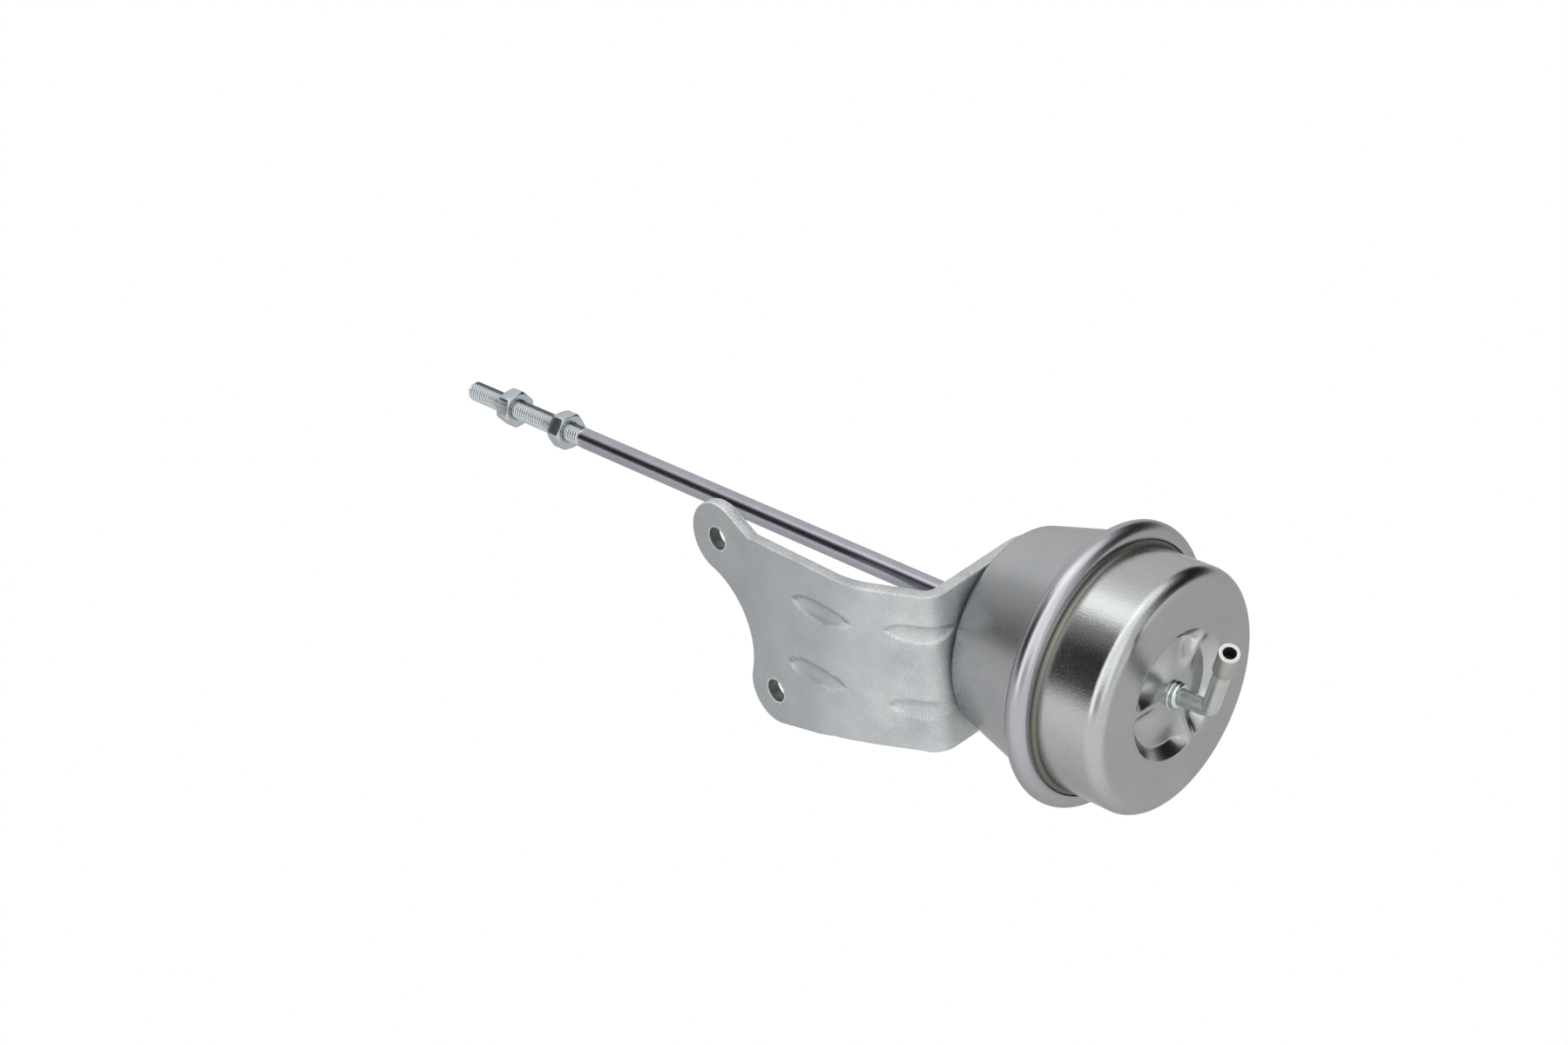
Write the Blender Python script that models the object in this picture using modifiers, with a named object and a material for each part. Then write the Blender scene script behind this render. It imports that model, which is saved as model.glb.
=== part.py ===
"""Wastegate actuator: a spring-loaded diaphragm in a crimped can that pushes a threaded rod.

The rod and both cans lie along X, the mounting bracket hangs below and beside them, Z is up.
Everything is drawn in the can frame, whose origin is where the rod axis meets the crimp plane,
and an empty then puts the origin of the model on the bolting face of the bracket.
"""
import math

import bmesh
import bpy
from mathutils import Matrix, Vector

# Clearances, metres
GAP = 0.0003                    # between pieces that touch
ROD_PLAY = 0.0003               # round the rod in its guide bush and seal
BUSH_PLAY = 0.0005              # round the guide bush in the can and the bracket

# Crimped joint of the two cans
BEAD_R = 0.00307                # radius of the bead's own section
BEAD_OVERLAP = 0.00103          # how far the flange reaches past the middle of the bead
BEAD_LIP_ANGLE = 110.0          # where the roll ends, degrees from straight outwards
BEAD_STEPS = 11

# Lower can, on the rod side
CAN_WALL = 0.0012
CAN_DEPTH = 0.0275              # crimp plane to the flat end
CAN_TAPER = 0.262               # loss of radius for each unit of depth
CAN_CORNER_R = 0.003

# Cap, on the hose side
CAP_WALL = 0.0010
CAP_R = 0.03125
CAP_HEIGHT = 0.0207             # crimp plane to the flat face
CAP_CORNER_R = 0.0036
FLANGE_WIDTH = 0.00325
FLANGE_GAP = 0.0002             # crimp plane to the underside of the flange
NIPPLE_HOLE_R = 0.0024

# Three spoon-shaped recesses pressed into the cap
RECESS_R = 0.0168
RECESS_WALL = 0.0028            # width of the recess's steep outer wall
RECESS_DEPTH = 0.0028
HUB_R = 0.0045
HUB_DEPTH = 0.0009
LOBE_COUNT = 3
LOBE_ANGLE = 109.0              # first lobe, degrees from Y towards Z
RIDGE_HALF_WIDTH = 0.0006
RIDGE_FLANK = 0.0042
FLOOR_RINGS = 5                 # rings of vertices across the recesses' floor

# Hose nipple
TUBE_R = 0.0021
TUBE_BORE_R = 0.0015
TUBE_CORNER = 0.0089            # cap face to the corner of the bend
TUBE_BEND_R = 0.0036
TUBE_LEG = 0.0282               # corner of the bend to the open end
TUBE_LEG_DIR = (0.386, -0.285, 0.878)
TUBE_TAIL = 0.0002              # how far the tube pokes into the cap
BORE_MARGIN = 0.0020            # how far the bore's cutter runs past each end
NECK_STEP = 0.00005             # length of the shoulder where the tube necks down
SPIGOT_R = 0.0018
SPIGOT_LENGTH = 0.0040
SLEEVE_R = 0.00258
SLEEVE_LENGTH = 0.0086
SLEEVE_EDGE = 0.0002
COLLAR_R = 0.0028
COLLAR_HEIGHT = 0.0025
COLLAR_EDGE = 0.0003
COLLAR_FOOT_R = 0.0036          # the brazed fillet at the foot of the collar
COLLAR_FOOT_HEIGHT = 0.0011

# Mounting bracket, a folded steel blank; its blank coordinates run along and across the strap
PLATE = 0.0035
STRAP_HALF_WIDTH = 0.0230
BASE_END_R = 0.0230
BEND_1_START = 0.0249
BEND_1_OUTER_R = 0.0065
BEND_1_ANGLE = 68.2
BEND_2_START = 0.0470
BEND_2_OUTER_R = 0.0250
BEND_2_ANGLE = 25.7
BEND_2_SKEW = 9.7
BOLT_HOLE_R = 0.0034
UPPER_HOLE = (0.0951, 0.0184)
LOWER_HOLE = (0.0751, -0.0180)
UPPER_EAR_R = 0.0098
LOWER_EAR_R = 0.0094
WAIST_R = 0.0200
NOTCH = 0.0830
FLARE_START = 0.0545
RELIEF = (0.0220, 0.0410)       # where the strap's lower edge is hollowed beside the near bend
RELIEF_DEPTH = 0.0011
BOLTING_POINT = (0.0760, 0.0)   # on the outer face of the flat with the bolt holes
ARC_STEP = 15.0                 # degrees between points on the blank's round stretches
BEND_STEPS = 6
RIB_DEPTH = 0.0023
RIB_SINK = 0.0003               # how far a rib's middle lies below the face it stands on
NEAR_RIB = (0.0080, 0.0024)     # half length and half width
FAR_RIB = (0.0093, 0.0027)
NEAR_RIB_PLACES = ((0.0313, 0.0120), (0.0314, -0.0099))
FAR_RIB_PLACES = ((0.0577, 0.0119), (0.0601, -0.0068))

# Rod and what is clamped on its inner end
ROD_R = 0.0030
THREAD_R = 0.00295
ROD_REACH = 0.2420              # crimp plane to the rod's tip
THREAD_LENGTH = 0.0520
TIP_CHAMFER = 0.0010
SPIGOT_NECK_R = 0.0025
SHOULDER_R = 0.0050
SHOULDER_HEIGHT = 0.0020
HEAD_R = 0.0044
HEAD_HEIGHT = 0.0012
WASHER_R = 0.0085
WASHER_HEIGHT = 0.0012
PISTON_WALL = 0.0012
PISTON_SKIRT = 0.0100
PISTON_CORNER_R = 0.0030
DIAPHRAGM = 0.0010
CLAMP_PLATE = 0.0010
CLAMP_PLATE_INSET = 0.0018      # from the recess's edge in to the rim of the plate
CLAMP_PLATE_DISH = 0.0018
CLAMP_PLATE_RIM = 0.0045        # width of the plate's raised rim and its slope
NUT_FLATS = 0.0100
NUT_HEIGHT = 0.0050
NUT_CHAMFER = 0.0006
ADJUSTER_PLACE = 0.0431         # rod tip to the middle of the nut
ADJUSTER_TURN = 52.0            # degrees of the nut about the rod
LOCK_NUT_PLACE = 0.0194
LOCK_NUT_TURN = 7.0

# Rolling diaphragm
RIM_INSET = 0.0002              # from the flange's edge in to the edge of the membrane
ROLL_INSET = 0.00145            # from the cap's inner wall to the middle of the membrane
ROLL_WIDTH = 0.0073             # from there in to the piston
ROLL_DROP = 0.0012

# Spring and its seat
WIRE_R = 0.0014
SPRING_INSET = 0.0034           # from the piston's inner wall to the outside of the spring
SPRING_TURNS = 7
SPRING_POINTS = 12              # points on each turn
SEAT_HEIGHT = 0.0012
SEAT_MARGIN = 0.0026            # how far the seat stands out round the spring

# Guide bush, its ring and the rod seal
BUSH_WALL = 0.0027
BUSH_FLANGE = 0.0022
BUSH_FLANGE_HEIGHT = 0.0016
BUSH_REACH = 0.0032             # how far the bush stands out of the bracket
RING_HEIGHT = 0.0010
RING_WIDTH = 0.0028
SEAL_HEIGHT = 0.0016
SEAL_WIDTH = 0.0024
SEAL_EDGE = 0.0004

ROUND = 48                      # facets of the large turned pieces
SMALL_ROUND = 24
SMOOTH_ANGLE = math.radians(35.0)

# Radii and places worked out from the sizes above
FLANGE_R = CAP_R + FLANGE_WIDTH
BEAD_RING_R = FLANGE_R - BEAD_OVERLAP
RIM_R = FLANGE_R - RIM_INSET
ROLL_OUTER_R = CAP_R - CAP_WALL - ROLL_INSET
PISTON_R = ROLL_OUTER_R - ROLL_WIDTH
SPRING_R = PISTON_R - PISTON_WALL - SPRING_INSET - WIRE_R
SEAT_R = SPRING_R + WIRE_R + SEAT_MARGIN
RECESS_FLOOR_R = RECESS_R - RECESS_WALL
CLAMP_PLATE_R = RECESS_R - CLAMP_PLATE_INSET
CLAMP_PLATE_FLAT_R = CLAMP_PLATE_R - CLAMP_PLATE_RIM
CAN_END_X = -CAN_DEPTH
BRACKET_FACE_X = CAN_END_X - GAP
BRACKET_BACK_X = BRACKET_FACE_X - PLATE
STOP_X = CAP_HEIGHT - RECESS_DEPTH - CAP_WALL - GAP
PLATE_TOP_X = STOP_X - CLAMP_PLATE_DISH
DIAPHRAGM_TOP_X = PLATE_TOP_X - CLAMP_PLATE - GAP
PISTON_TOP_X = DIAPHRAGM_TOP_X - DIAPHRAGM - GAP
WASHER_TOP_X = PISTON_TOP_X - PISTON_WALL - GAP
SHOULDER_TOP_X = WASHER_TOP_X - WASHER_HEIGHT - GAP
HEAD_BOTTOM_X = PLATE_TOP_X + GAP
SEAT_BOTTOM_X = CAN_END_X + CAN_WALL + GAP
SPRING_BOTTOM_X = SEAT_BOTTOM_X + SEAT_HEIGHT + GAP
SPRING_TOP_X = PISTON_TOP_X - PISTON_WALL - GAP
BUSH_BORE_R = ROD_R + ROD_PLAY
BUSH_R = BUSH_BORE_R + BUSH_WALL
CAN_HOLE_R = BUSH_R + BUSH_PLAY
ROD_TIP_X = -ROD_REACH


def clear_scene():
    for item in list(bpy.data.objects):
        bpy.data.objects.remove(item, do_unlink=True)


def new_collection(name):
    found = bpy.data.collections.new(name)
    bpy.context.scene.collection.children.link(found)
    return found


def new_material(name, colour, roughness, metallic):
    made = bpy.data.materials.new(name)
    made.use_nodes = True
    shader = made.node_tree.nodes["Principled BSDF"]
    shader.inputs["Base Color"].default_value = (*colour, 1.0)
    shader.inputs["Roughness"].default_value = roughness
    shader.inputs["Metallic"].default_value = metallic
    made.diffuse_color = (*colour, 1.0)
    return made


clear_scene()
PARTS = new_collection("wastegate_actuator")
CUTTERS = new_collection("cutters")


def add_empty(name, location, parent=None):
    made = bpy.data.objects.new(name, None)
    made.location = location
    made.parent = parent
    PARTS.objects.link(made)
    return made


def add_object(name, mesh, collection):
    made = bpy.data.objects.new(name, mesh)
    collection.objects.link(made)
    return made


def shade_round(obj):
    mesh = obj.data
    mesh.shade_smooth()
    mesh.set_sharp_from_angle(angle=SMOOTH_ANGLE)


def apply_modifiers(obj):
    """Replace an object's mesh by the one that its modifiers make."""
    bpy.context.view_layer.update()
    graph = bpy.context.evaluated_depsgraph_get()
    made = bpy.data.meshes.new_from_object(obj.evaluated_get(graph))
    old = obj.data
    obj.modifiers.clear()
    obj.data = made
    bpy.data.meshes.remove(old)
    return obj


def mesh_from_curve(obj):
    """Turn a curve object into a mesh object with its caps welded on."""
    bpy.context.view_layer.update()
    graph = bpy.context.evaluated_depsgraph_get()
    mesh = bpy.data.meshes.new_from_object(obj.evaluated_get(graph))
    work = bmesh.new()
    work.from_mesh(mesh)
    bmesh.ops.remove_doubles(work, verts=work.verts, dist=0.000001)
    bmesh.ops.recalc_face_normals(work, faces=work.faces)
    work.to_mesh(mesh)
    work.free()
    made = add_object(obj.name + "_mesh", mesh, obj.users_collection[0])
    made.matrix_world = obj.matrix_world
    name = obj.name
    bpy.data.objects.remove(obj, do_unlink=True)
    made.name = name
    return made


def boolean(obj, other, operation):
    step = obj.modifiers.new(operation.lower(), "BOOLEAN")
    step.object = other
    step.operation = operation
    step.solver = "EXACT"
    apply_modifiers(obj)
    bpy.data.objects.remove(other, do_unlink=True)
    return obj


def arc(centre, radius, start, end, steps):
    """Points on an arc in a (radius, x) half plane, angles in degrees from outwards."""
    made = []
    for k in range(steps + 1):
        angle = math.radians(start + (end - start) * k / steps)
        made.append((centre[0] + radius * math.cos(angle), centre[1] + radius * math.sin(angle)))
    return made


def turned(name, profile, segments=ROUND, collection=PARTS, closed=True):
    """Revolve a (radius, x) profile about the X axis; the outer side is given top to bottom."""
    mesh = bpy.data.meshes.new(name)
    vertices = [(radius, 0.0, x) for radius, x in profile]
    edges = [(k, k + 1) for k in range(len(profile) - 1)]
    if closed:
        edges.append((len(profile) - 1, 0))
    mesh.from_pydata(vertices, edges, [])
    made = add_object(name, mesh, collection)
    screw = made.modifiers.new("turn", "SCREW")
    screw.axis = "Z"
    screw.angle = 2.0 * math.pi
    screw.steps = segments
    screw.render_steps = segments
    screw.use_merge_vertices = True
    screw.merge_threshold = 0.000001
    screw.use_normal_calculate = False
    apply_modifiers(made)
    made.data.transform(Matrix.Rotation(math.pi / 2.0, 4, "Y"))
    shade_round(made)
    return made


def finish(obj, material, parent):
    obj.data.materials.clear()
    obj.data.materials.append(material)
    obj.parent = parent
    return obj


def smooth_step(value, low, high):
    t = min(max((value - low) / (high - low), 0.0), 1.0)
    return t * t * (3.0 - 2.0 * t)


def can_radius(x):
    """Outer radius of the lower can's taper."""
    return BEAD_RING_R + CAN_TAPER * x


def make_lower_can():
    slope = math.atan(CAN_TAPER)
    wall = CAN_WALL / math.cos(slope)
    lip = BEAD_LIP_ANGLE
    outer = arc((BEAD_RING_R, 0.0), BEAD_R, lip, -95.0, BEAD_STEPS)
    tangent = CAN_CORNER_R * math.tan((math.pi / 2.0 - slope) / 2.0)
    corner = (can_radius(CAN_END_X) - tangent, CAN_END_X + CAN_CORNER_R)
    outer.append((can_radius(-BEAD_R * 1.03), -BEAD_R * 1.03))
    outer += arc(corner, CAN_CORNER_R, -math.degrees(slope), -90.0, 4)
    outer.append((CAN_HOLE_R, CAN_END_X))
    inner = [(CAN_HOLE_R, CAN_END_X + CAN_WALL)]
    inner += arc(corner, CAN_CORNER_R - CAN_WALL, -90.0, -math.degrees(slope), 3)
    ledge_r = BEAD_R - CAN_WALL
    inner.append((can_radius(-ledge_r * 1.05) - wall, -ledge_r * 1.05))
    inner += arc((BEAD_RING_R, 0.0), ledge_r, -112.0, lip, BEAD_STEPS - 3)
    return turned("lower_can", outer + inner)


def recess_depth(y, z):
    """How far the cap's face is pressed in at a point of it."""
    radius = math.hypot(y, z)
    if radius >= RECESS_R:
        return 0.0
    wall = min((RECESS_R - radius) / RECESS_WALL, 1.0)
    floor = HUB_DEPTH + (RECESS_DEPTH - HUB_DEPTH) * smooth_step(radius, HUB_R, RECESS_FLOOR_R)
    lobe = floor * wall
    ramp = min(max((RECESS_R - radius) / (RECESS_R - HUB_R), 0.0), 1.0)
    crest = HUB_DEPTH * ramp
    turn = math.degrees(math.atan2(z, y)) - LOBE_ANGLE
    off_ridge = (turn % (360.0 / LOBE_COUNT)) - 180.0 / LOBE_COUNT
    across = radius * abs(math.sin(math.radians(off_ridge)))
    fall = min(max((across - RIDGE_HALF_WIDTH) / RIDGE_FLANK, 0.0), 1.0)
    share = 1.0 - (1.0 - fall) ** 2
    return crest + (lobe - crest) * share


def make_upper_can():
    top = CAP_HEIGHT
    inner_r = CAP_R - CAP_WALL
    corner = (CAP_R - CAP_CORNER_R, top - CAP_CORNER_R)
    rings = [NIPPLE_HOLE_R, HUB_R]
    rings += [HUB_R + (RECESS_FLOOR_R - HUB_R) * k / FLOOR_RINGS for k in range(1, FLOOR_RINGS + 1)]
    rings += [(RECESS_FLOOR_R + RECESS_R) / 2.0, RECESS_R, RECESS_R + CAP_WALL]
    flange_bottom = FLANGE_GAP
    flange_top = FLANGE_GAP + CAP_WALL
    profile = [(radius, top) for radius in rings]
    profile += arc(corner, CAP_CORNER_R, 90.0, 0.0, 5)
    profile.append((CAP_R, flange_top + CAP_WALL))
    profile.append((CAP_R + CAP_WALL * 0.4, flange_top))
    profile.append((FLANGE_R, flange_top))
    profile.append((FLANGE_R, flange_bottom))
    profile.append((inner_r + CAP_WALL * 0.4, flange_bottom))
    profile.append((inner_r, flange_bottom + CAP_WALL))
    profile += arc(corner, CAP_CORNER_R - CAP_WALL, 0.0, 90.0, 4)
    profile += [(radius, top - CAP_WALL) for radius in reversed(rings)]
    made = turned("upper_can", profile)
    for vertex in made.data.vertices:
        if vertex.co.x > top - CAP_WALL * 1.5:
            vertex.co.x -= recess_depth(vertex.co.y, vertex.co.z)
    shade_round(made)
    return made


def make_diaphragm():
    """A rolling membrane: clamped rim, hanging roll, then up beside the piston and over its top."""
    half = DIAPHRAGM / 2.0
    rim_x = FLANGE_GAP - GAP - half
    side_r = PISTON_R + GAP + half
    roll_r = (ROLL_OUTER_R - side_r) / 2.0
    roll = (side_r + roll_r, rim_x - ROLL_DROP)
    corner = (PISTON_R - PISTON_CORNER_R, PISTON_TOP_X - PISTON_CORNER_R)
    middle = [(SPIGOT_NECK_R + GAP * 2.0, DIAPHRAGM_TOP_X - half)]
    middle += arc(corner, PISTON_CORNER_R + GAP + half, 90.0, 0.0, 4)
    middle += arc(roll, roll_r, -180.0, 0.0, 6)
    middle.append((ROLL_OUTER_R + half, rim_x))
    middle.append((RIM_R, rim_x))
    outer = offset_line(middle, -half)
    inner = offset_line(middle, half)
    return turned("diaphragm", outer + list(reversed(inner)), SMALL_ROUND)


def offset_line(points, distance):
    """A polyline moved sideways; a positive distance is to the left of its direction."""
    made = []
    for k, point in enumerate(points):
        before = Vector(points[max(k - 1, 0)])
        after = Vector(points[min(k + 1, len(points) - 1)])
        along = (after - before).normalized()
        side = Vector((along.y, -along.x))
        made.append((point[0] + side.x * distance, point[1] + side.y * distance))
    return made


def make_piston_cup():
    top = PISTON_TOP_X
    corner = (PISTON_R - PISTON_CORNER_R, top - PISTON_CORNER_R)
    bore = SPIGOT_NECK_R + GAP
    low = top - PISTON_SKIRT
    outer = [(bore, top)] + arc(corner, PISTON_CORNER_R, 90.0, 0.0, 4) + [(PISTON_R, low)]
    inner = [(PISTON_R - PISTON_WALL, low)]
    inner += arc(corner, PISTON_CORNER_R - PISTON_WALL, 0.0, 90.0, 3)
    inner.append((bore, top - PISTON_WALL))
    return turned("piston_cup", outer + inner, SMALL_ROUND)


def make_clamp_plate():
    """A dished washer whose raised rim is what meets the cap at rest."""
    bore = SPIGOT_NECK_R + GAP
    rise = CLAMP_PLATE_DISH
    flat = CLAMP_PLATE_FLAT_R
    mid = (flat + CLAMP_PLATE_R) / 2.0
    top = PLATE_TOP_X
    upper = [(bore, top), (flat, top), (mid, top + rise), (CLAMP_PLATE_R, top + rise)]
    lower = [(radius, x - CLAMP_PLATE) for radius, x in reversed(upper)]
    return turned("diaphragm_plate", upper + lower, segments=SMALL_ROUND)


def make_rod():
    """Threaded tip, shank, shoulder, the neck through the stack and the peened head."""
    tip = ROD_TIP_X
    thread_end = tip + THREAD_LENGTH
    step = ROD_R - THREAD_R
    head_top = HEAD_BOTTOM_X + HEAD_HEIGHT
    profile = [
        (0.0, head_top),
        (HEAD_R * 0.7, head_top),
        (HEAD_R, HEAD_BOTTOM_X + HEAD_HEIGHT * 0.5),
        (HEAD_R, HEAD_BOTTOM_X),
        (SPIGOT_NECK_R, HEAD_BOTTOM_X),
        (SPIGOT_NECK_R, SHOULDER_TOP_X),
        (SHOULDER_R, SHOULDER_TOP_X),
        (SHOULDER_R, SHOULDER_TOP_X - SHOULDER_HEIGHT),
        (ROD_R, SHOULDER_TOP_X - SHOULDER_HEIGHT - (SHOULDER_R - ROD_R)),
        (ROD_R, thread_end + step),
        (THREAD_R, thread_end),
        (THREAD_R, tip + TIP_CHAMFER),
        (THREAD_R - TIP_CHAMFER * 0.6, tip + TIP_CHAMFER * 0.2),
        (THREAD_R - TIP_CHAMFER, tip),
        (0.0, tip),
    ]
    return turned("actuator_rod", profile, segments=SMALL_ROUND - 4, closed=False)


def ring(name, bore, radius, bottom, height, segments=SMALL_ROUND, edge=0.0):
    """A plain turned ring, with its outer corners broken by an edge where one is given."""
    top = bottom + height
    profile = [(bore, top)]
    if edge > 0.0:
        profile += [(radius - edge, top), (radius, top - edge), (radius, bottom + edge)]
        profile.append((radius - edge, bottom))
    else:
        profile += [(radius, top), (radius, bottom)]
    profile.append((bore, bottom))
    return turned(name, profile, segments)


def make_nut(name, centre_x, turn):
    """A hexagon nut with its corners turned off on both faces."""
    across_corners = NUT_FLATS / math.cos(math.radians(30.0))
    bpy.ops.mesh.primitive_cylinder_add(vertices=6, radius=across_corners / 2.0, depth=NUT_HEIGHT)
    made = bpy.context.active_object
    made.name = name
    made.data.name = name
    for collection in list(made.users_collection):
        collection.objects.unlink(made)
    PARTS.objects.link(made)
    made.data.transform(Matrix.Rotation(math.pi / 2.0, 4, "Y"))
    half = NUT_HEIGHT / 2.0
    corner = across_corners / 2.0 + GAP
    face_r = NUT_FLATS / 2.0 - NUT_CHAMFER * 0.3
    bore = THREAD_R + GAP
    waist = half - (corner - face_r) * math.tan(math.radians(30.0))
    profile = [(bore, half), (face_r, half), (corner, waist), (corner, -waist)]
    profile += [(face_r, -half), (bore, -half)]
    shape = turned(name + "_turning", profile, SMALL_ROUND, CUTTERS)
    boolean(made, shape, "INTERSECT")
    made.location = (centre_x, 0.0, 0.0)
    made.rotation_euler.x = math.radians(turn)
    made.data.shade_flat()
    return made


def add_curve(name, points, radius, resolution, collection=PARTS, radii=None):
    """A round bar along a list of points."""
    data = bpy.data.curves.new(name, "CURVE")
    data.dimensions = "3D"
    data.bevel_depth = radius
    data.bevel_resolution = resolution
    data.use_fill_caps = True
    spline = data.splines.new("POLY")
    spline.points.add(len(points) - 1)
    for k, point in enumerate(points):
        spline.points[k].co = (*point, 1.0)
        spline.points[k].radius = 1.0 if radii is None else radii[k]
    return add_object(name, data, collection)


def make_spring():
    """Compression spring with one closed turn at each end."""
    count = SPRING_TURNS * SPRING_POINTS
    low = SPRING_BOTTOM_X + WIRE_R
    high = SPRING_TOP_X - WIRE_R
    closed = 2.0 * WIRE_R * 1.12
    rise = (high - low - 2.0 * closed) / (SPRING_TURNS - 2)
    points = []
    for k in range(count + 1):
        turn = k / SPRING_POINTS
        if turn < 1.0:
            x = low + closed * turn
        elif turn > SPRING_TURNS - 1:
            x = high - closed * (SPRING_TURNS - turn)
        else:
            x = low + closed + rise * (turn - 1.0)
        angle = 2.0 * math.pi * turn
        points.append((x, SPRING_R * math.cos(angle), SPRING_R * math.sin(angle)))
    made = mesh_from_curve(add_curve("return_spring", points, WIRE_R, 2))
    shade_round(made)
    return made


def tube_route(start_x, end_cut):
    """Centre line of the nipple: out along the rod axis, round the bend, then straight."""
    out = Vector((1.0, 0.0, 0.0))
    leg = Vector(TUBE_LEG_DIR).normalized()
    corner = Vector((CAP_HEIGHT + TUBE_CORNER, 0.0, 0.0))
    turn = out.angle(leg)
    reach = TUBE_BEND_R * math.tan(turn / 2.0)
    first = corner - out * reach
    side = (leg - out * leg.dot(out)).normalized()
    points = [Vector((start_x, 0.0, 0.0))]
    steps = 7
    for k in range(steps + 1):
        angle = turn * k / steps
        points.append(first + out * TUBE_BEND_R * math.sin(angle) + side * TUBE_BEND_R * (1.0 - math.cos(angle)))
    points.append(corner + leg * (TUBE_LEG - end_cut))
    return points


def make_nipple_tube():
    """The bent tube with a necked end that sits in the sleeve, bored right through."""
    start_x = CAP_HEIGHT - HUB_DEPTH - CAP_WALL - TUBE_TAIL
    leg = Vector(TUBE_LEG_DIR).normalized()
    route = tube_route(start_x, SLEEVE_LENGTH + GAP)
    neck = [route[-1] + leg * NECK_STEP, route[-1] + leg * (SPIGOT_LENGTH + GAP)]
    radii = [1.0] * len(route) + [SPIGOT_R / TUBE_R] * 2
    made = mesh_from_curve(add_curve("nipple_tube", route + neck, TUBE_R, 6, PARTS, radii))
    bore_route = tube_route(start_x - BORE_MARGIN, SLEEVE_LENGTH - SPIGOT_LENGTH - BORE_MARGIN)
    bore = mesh_from_curve(add_curve("nipple_bore", bore_route, TUBE_BORE_R, 4, CUTTERS))
    boolean(made, bore, "DIFFERENCE")
    shade_round(made)
    return made


def place_on_leg(obj, from_corner):
    """Stand a piece that was turned about X on the nipple's free leg."""
    leg = Vector(TUBE_LEG_DIR).normalized()
    corner = Vector((CAP_HEIGHT + TUBE_CORNER, 0.0, 0.0))
    obj.rotation_mode = "QUATERNION"
    obj.rotation_quaternion = Vector((1.0, 0.0, 0.0)).rotation_difference(leg)
    obj.location = corner + leg * from_corner
    return obj


def make_nipple_sleeve():
    """A sleeve over the tube's necked end, with the same bore at its open end."""
    top = SLEEVE_LENGTH
    step = SPIGOT_LENGTH + GAP * 2.0
    edge = SLEEVE_EDGE
    wide = SPIGOT_R + GAP
    profile = [
        (TUBE_BORE_R, top),
        (SLEEVE_R - edge, top),
        (SLEEVE_R, top - edge),
        (SLEEVE_R, edge),
        (SLEEVE_R - edge, 0.0),
        (wide, 0.0),
        (wide, step),
        (TUBE_BORE_R, step),
    ]
    made = turned("nipple_sleeve", profile, SMALL_ROUND)
    return place_on_leg(made, TUBE_LEG - SLEEVE_LENGTH)


def make_collar():
    """The ferrule that holds the tube in the middle of the cap, with its brazed foot."""
    bottom = CAP_HEIGHT - HUB_DEPTH + GAP
    top = bottom + COLLAR_HEIGHT
    bore = TUBE_R + GAP
    profile = [(bore, top), (COLLAR_R - COLLAR_EDGE, top), (COLLAR_R, top - COLLAR_EDGE)]
    flare = COLLAR_FOOT_R - COLLAR_R
    steps = 4
    for k in range(steps + 1):
        turn = 0.5 * math.pi * k / steps
        radius = COLLAR_FOOT_R - flare * math.cos(turn)
        profile.append((radius, bottom + COLLAR_FOOT_HEIGHT * (1.0 - math.sin(turn))))
    profile.append((bore, bottom))
    return turned("nipple_collar", profile, SMALL_ROUND)


def arc_points(centre, radius, start, end):
    """Points on an arc of the blank, from one angle to the other, about ARC_STEP apart."""
    steps = max(2, round(abs(end - start) / ARC_STEP))
    made = []
    for k in range(steps + 1):
        angle = math.radians(start + (end - start) * k / steps)
        made.append((centre[0] + radius * math.cos(angle), centre[1] + radius * math.sin(angle)))
    return made


def tangent_angle(point, centre, radius, side):
    """Angle on a circle where a line from the point touches it."""
    gap = Vector(point) - Vector(centre)
    spread = math.degrees(math.acos(radius / gap.length))
    return math.degrees(math.atan2(gap.y, gap.x)) + side * spread


def waist_centre():
    """Centre of the hollow edge that touches both ears from outside."""
    upper = Vector(UPPER_HOLE)
    lower = Vector(LOWER_HOLE)
    from_upper = UPPER_EAR_R + WAIST_R
    from_lower = LOWER_EAR_R + WAIST_R
    along = lower - upper
    span = along.length
    share = (from_upper ** 2 - from_lower ** 2 + span ** 2) / (2.0 * span)
    off = math.sqrt(from_upper ** 2 - share ** 2)
    unit = along / span
    return upper + unit * share + Vector((-unit.y, unit.x)) * off


def relief_points():
    start, end = RELIEF
    steps = 8
    return [start + (end - start) * k / steps for k in range(steps + 1)]


def relief(place):
    """How much the strap's lower edge is hollowed at a place along it."""
    start, end = RELIEF
    share = (place - start) / (end - start)
    return RELIEF_DEPTH * math.sin(math.pi * share) ** 2


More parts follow.
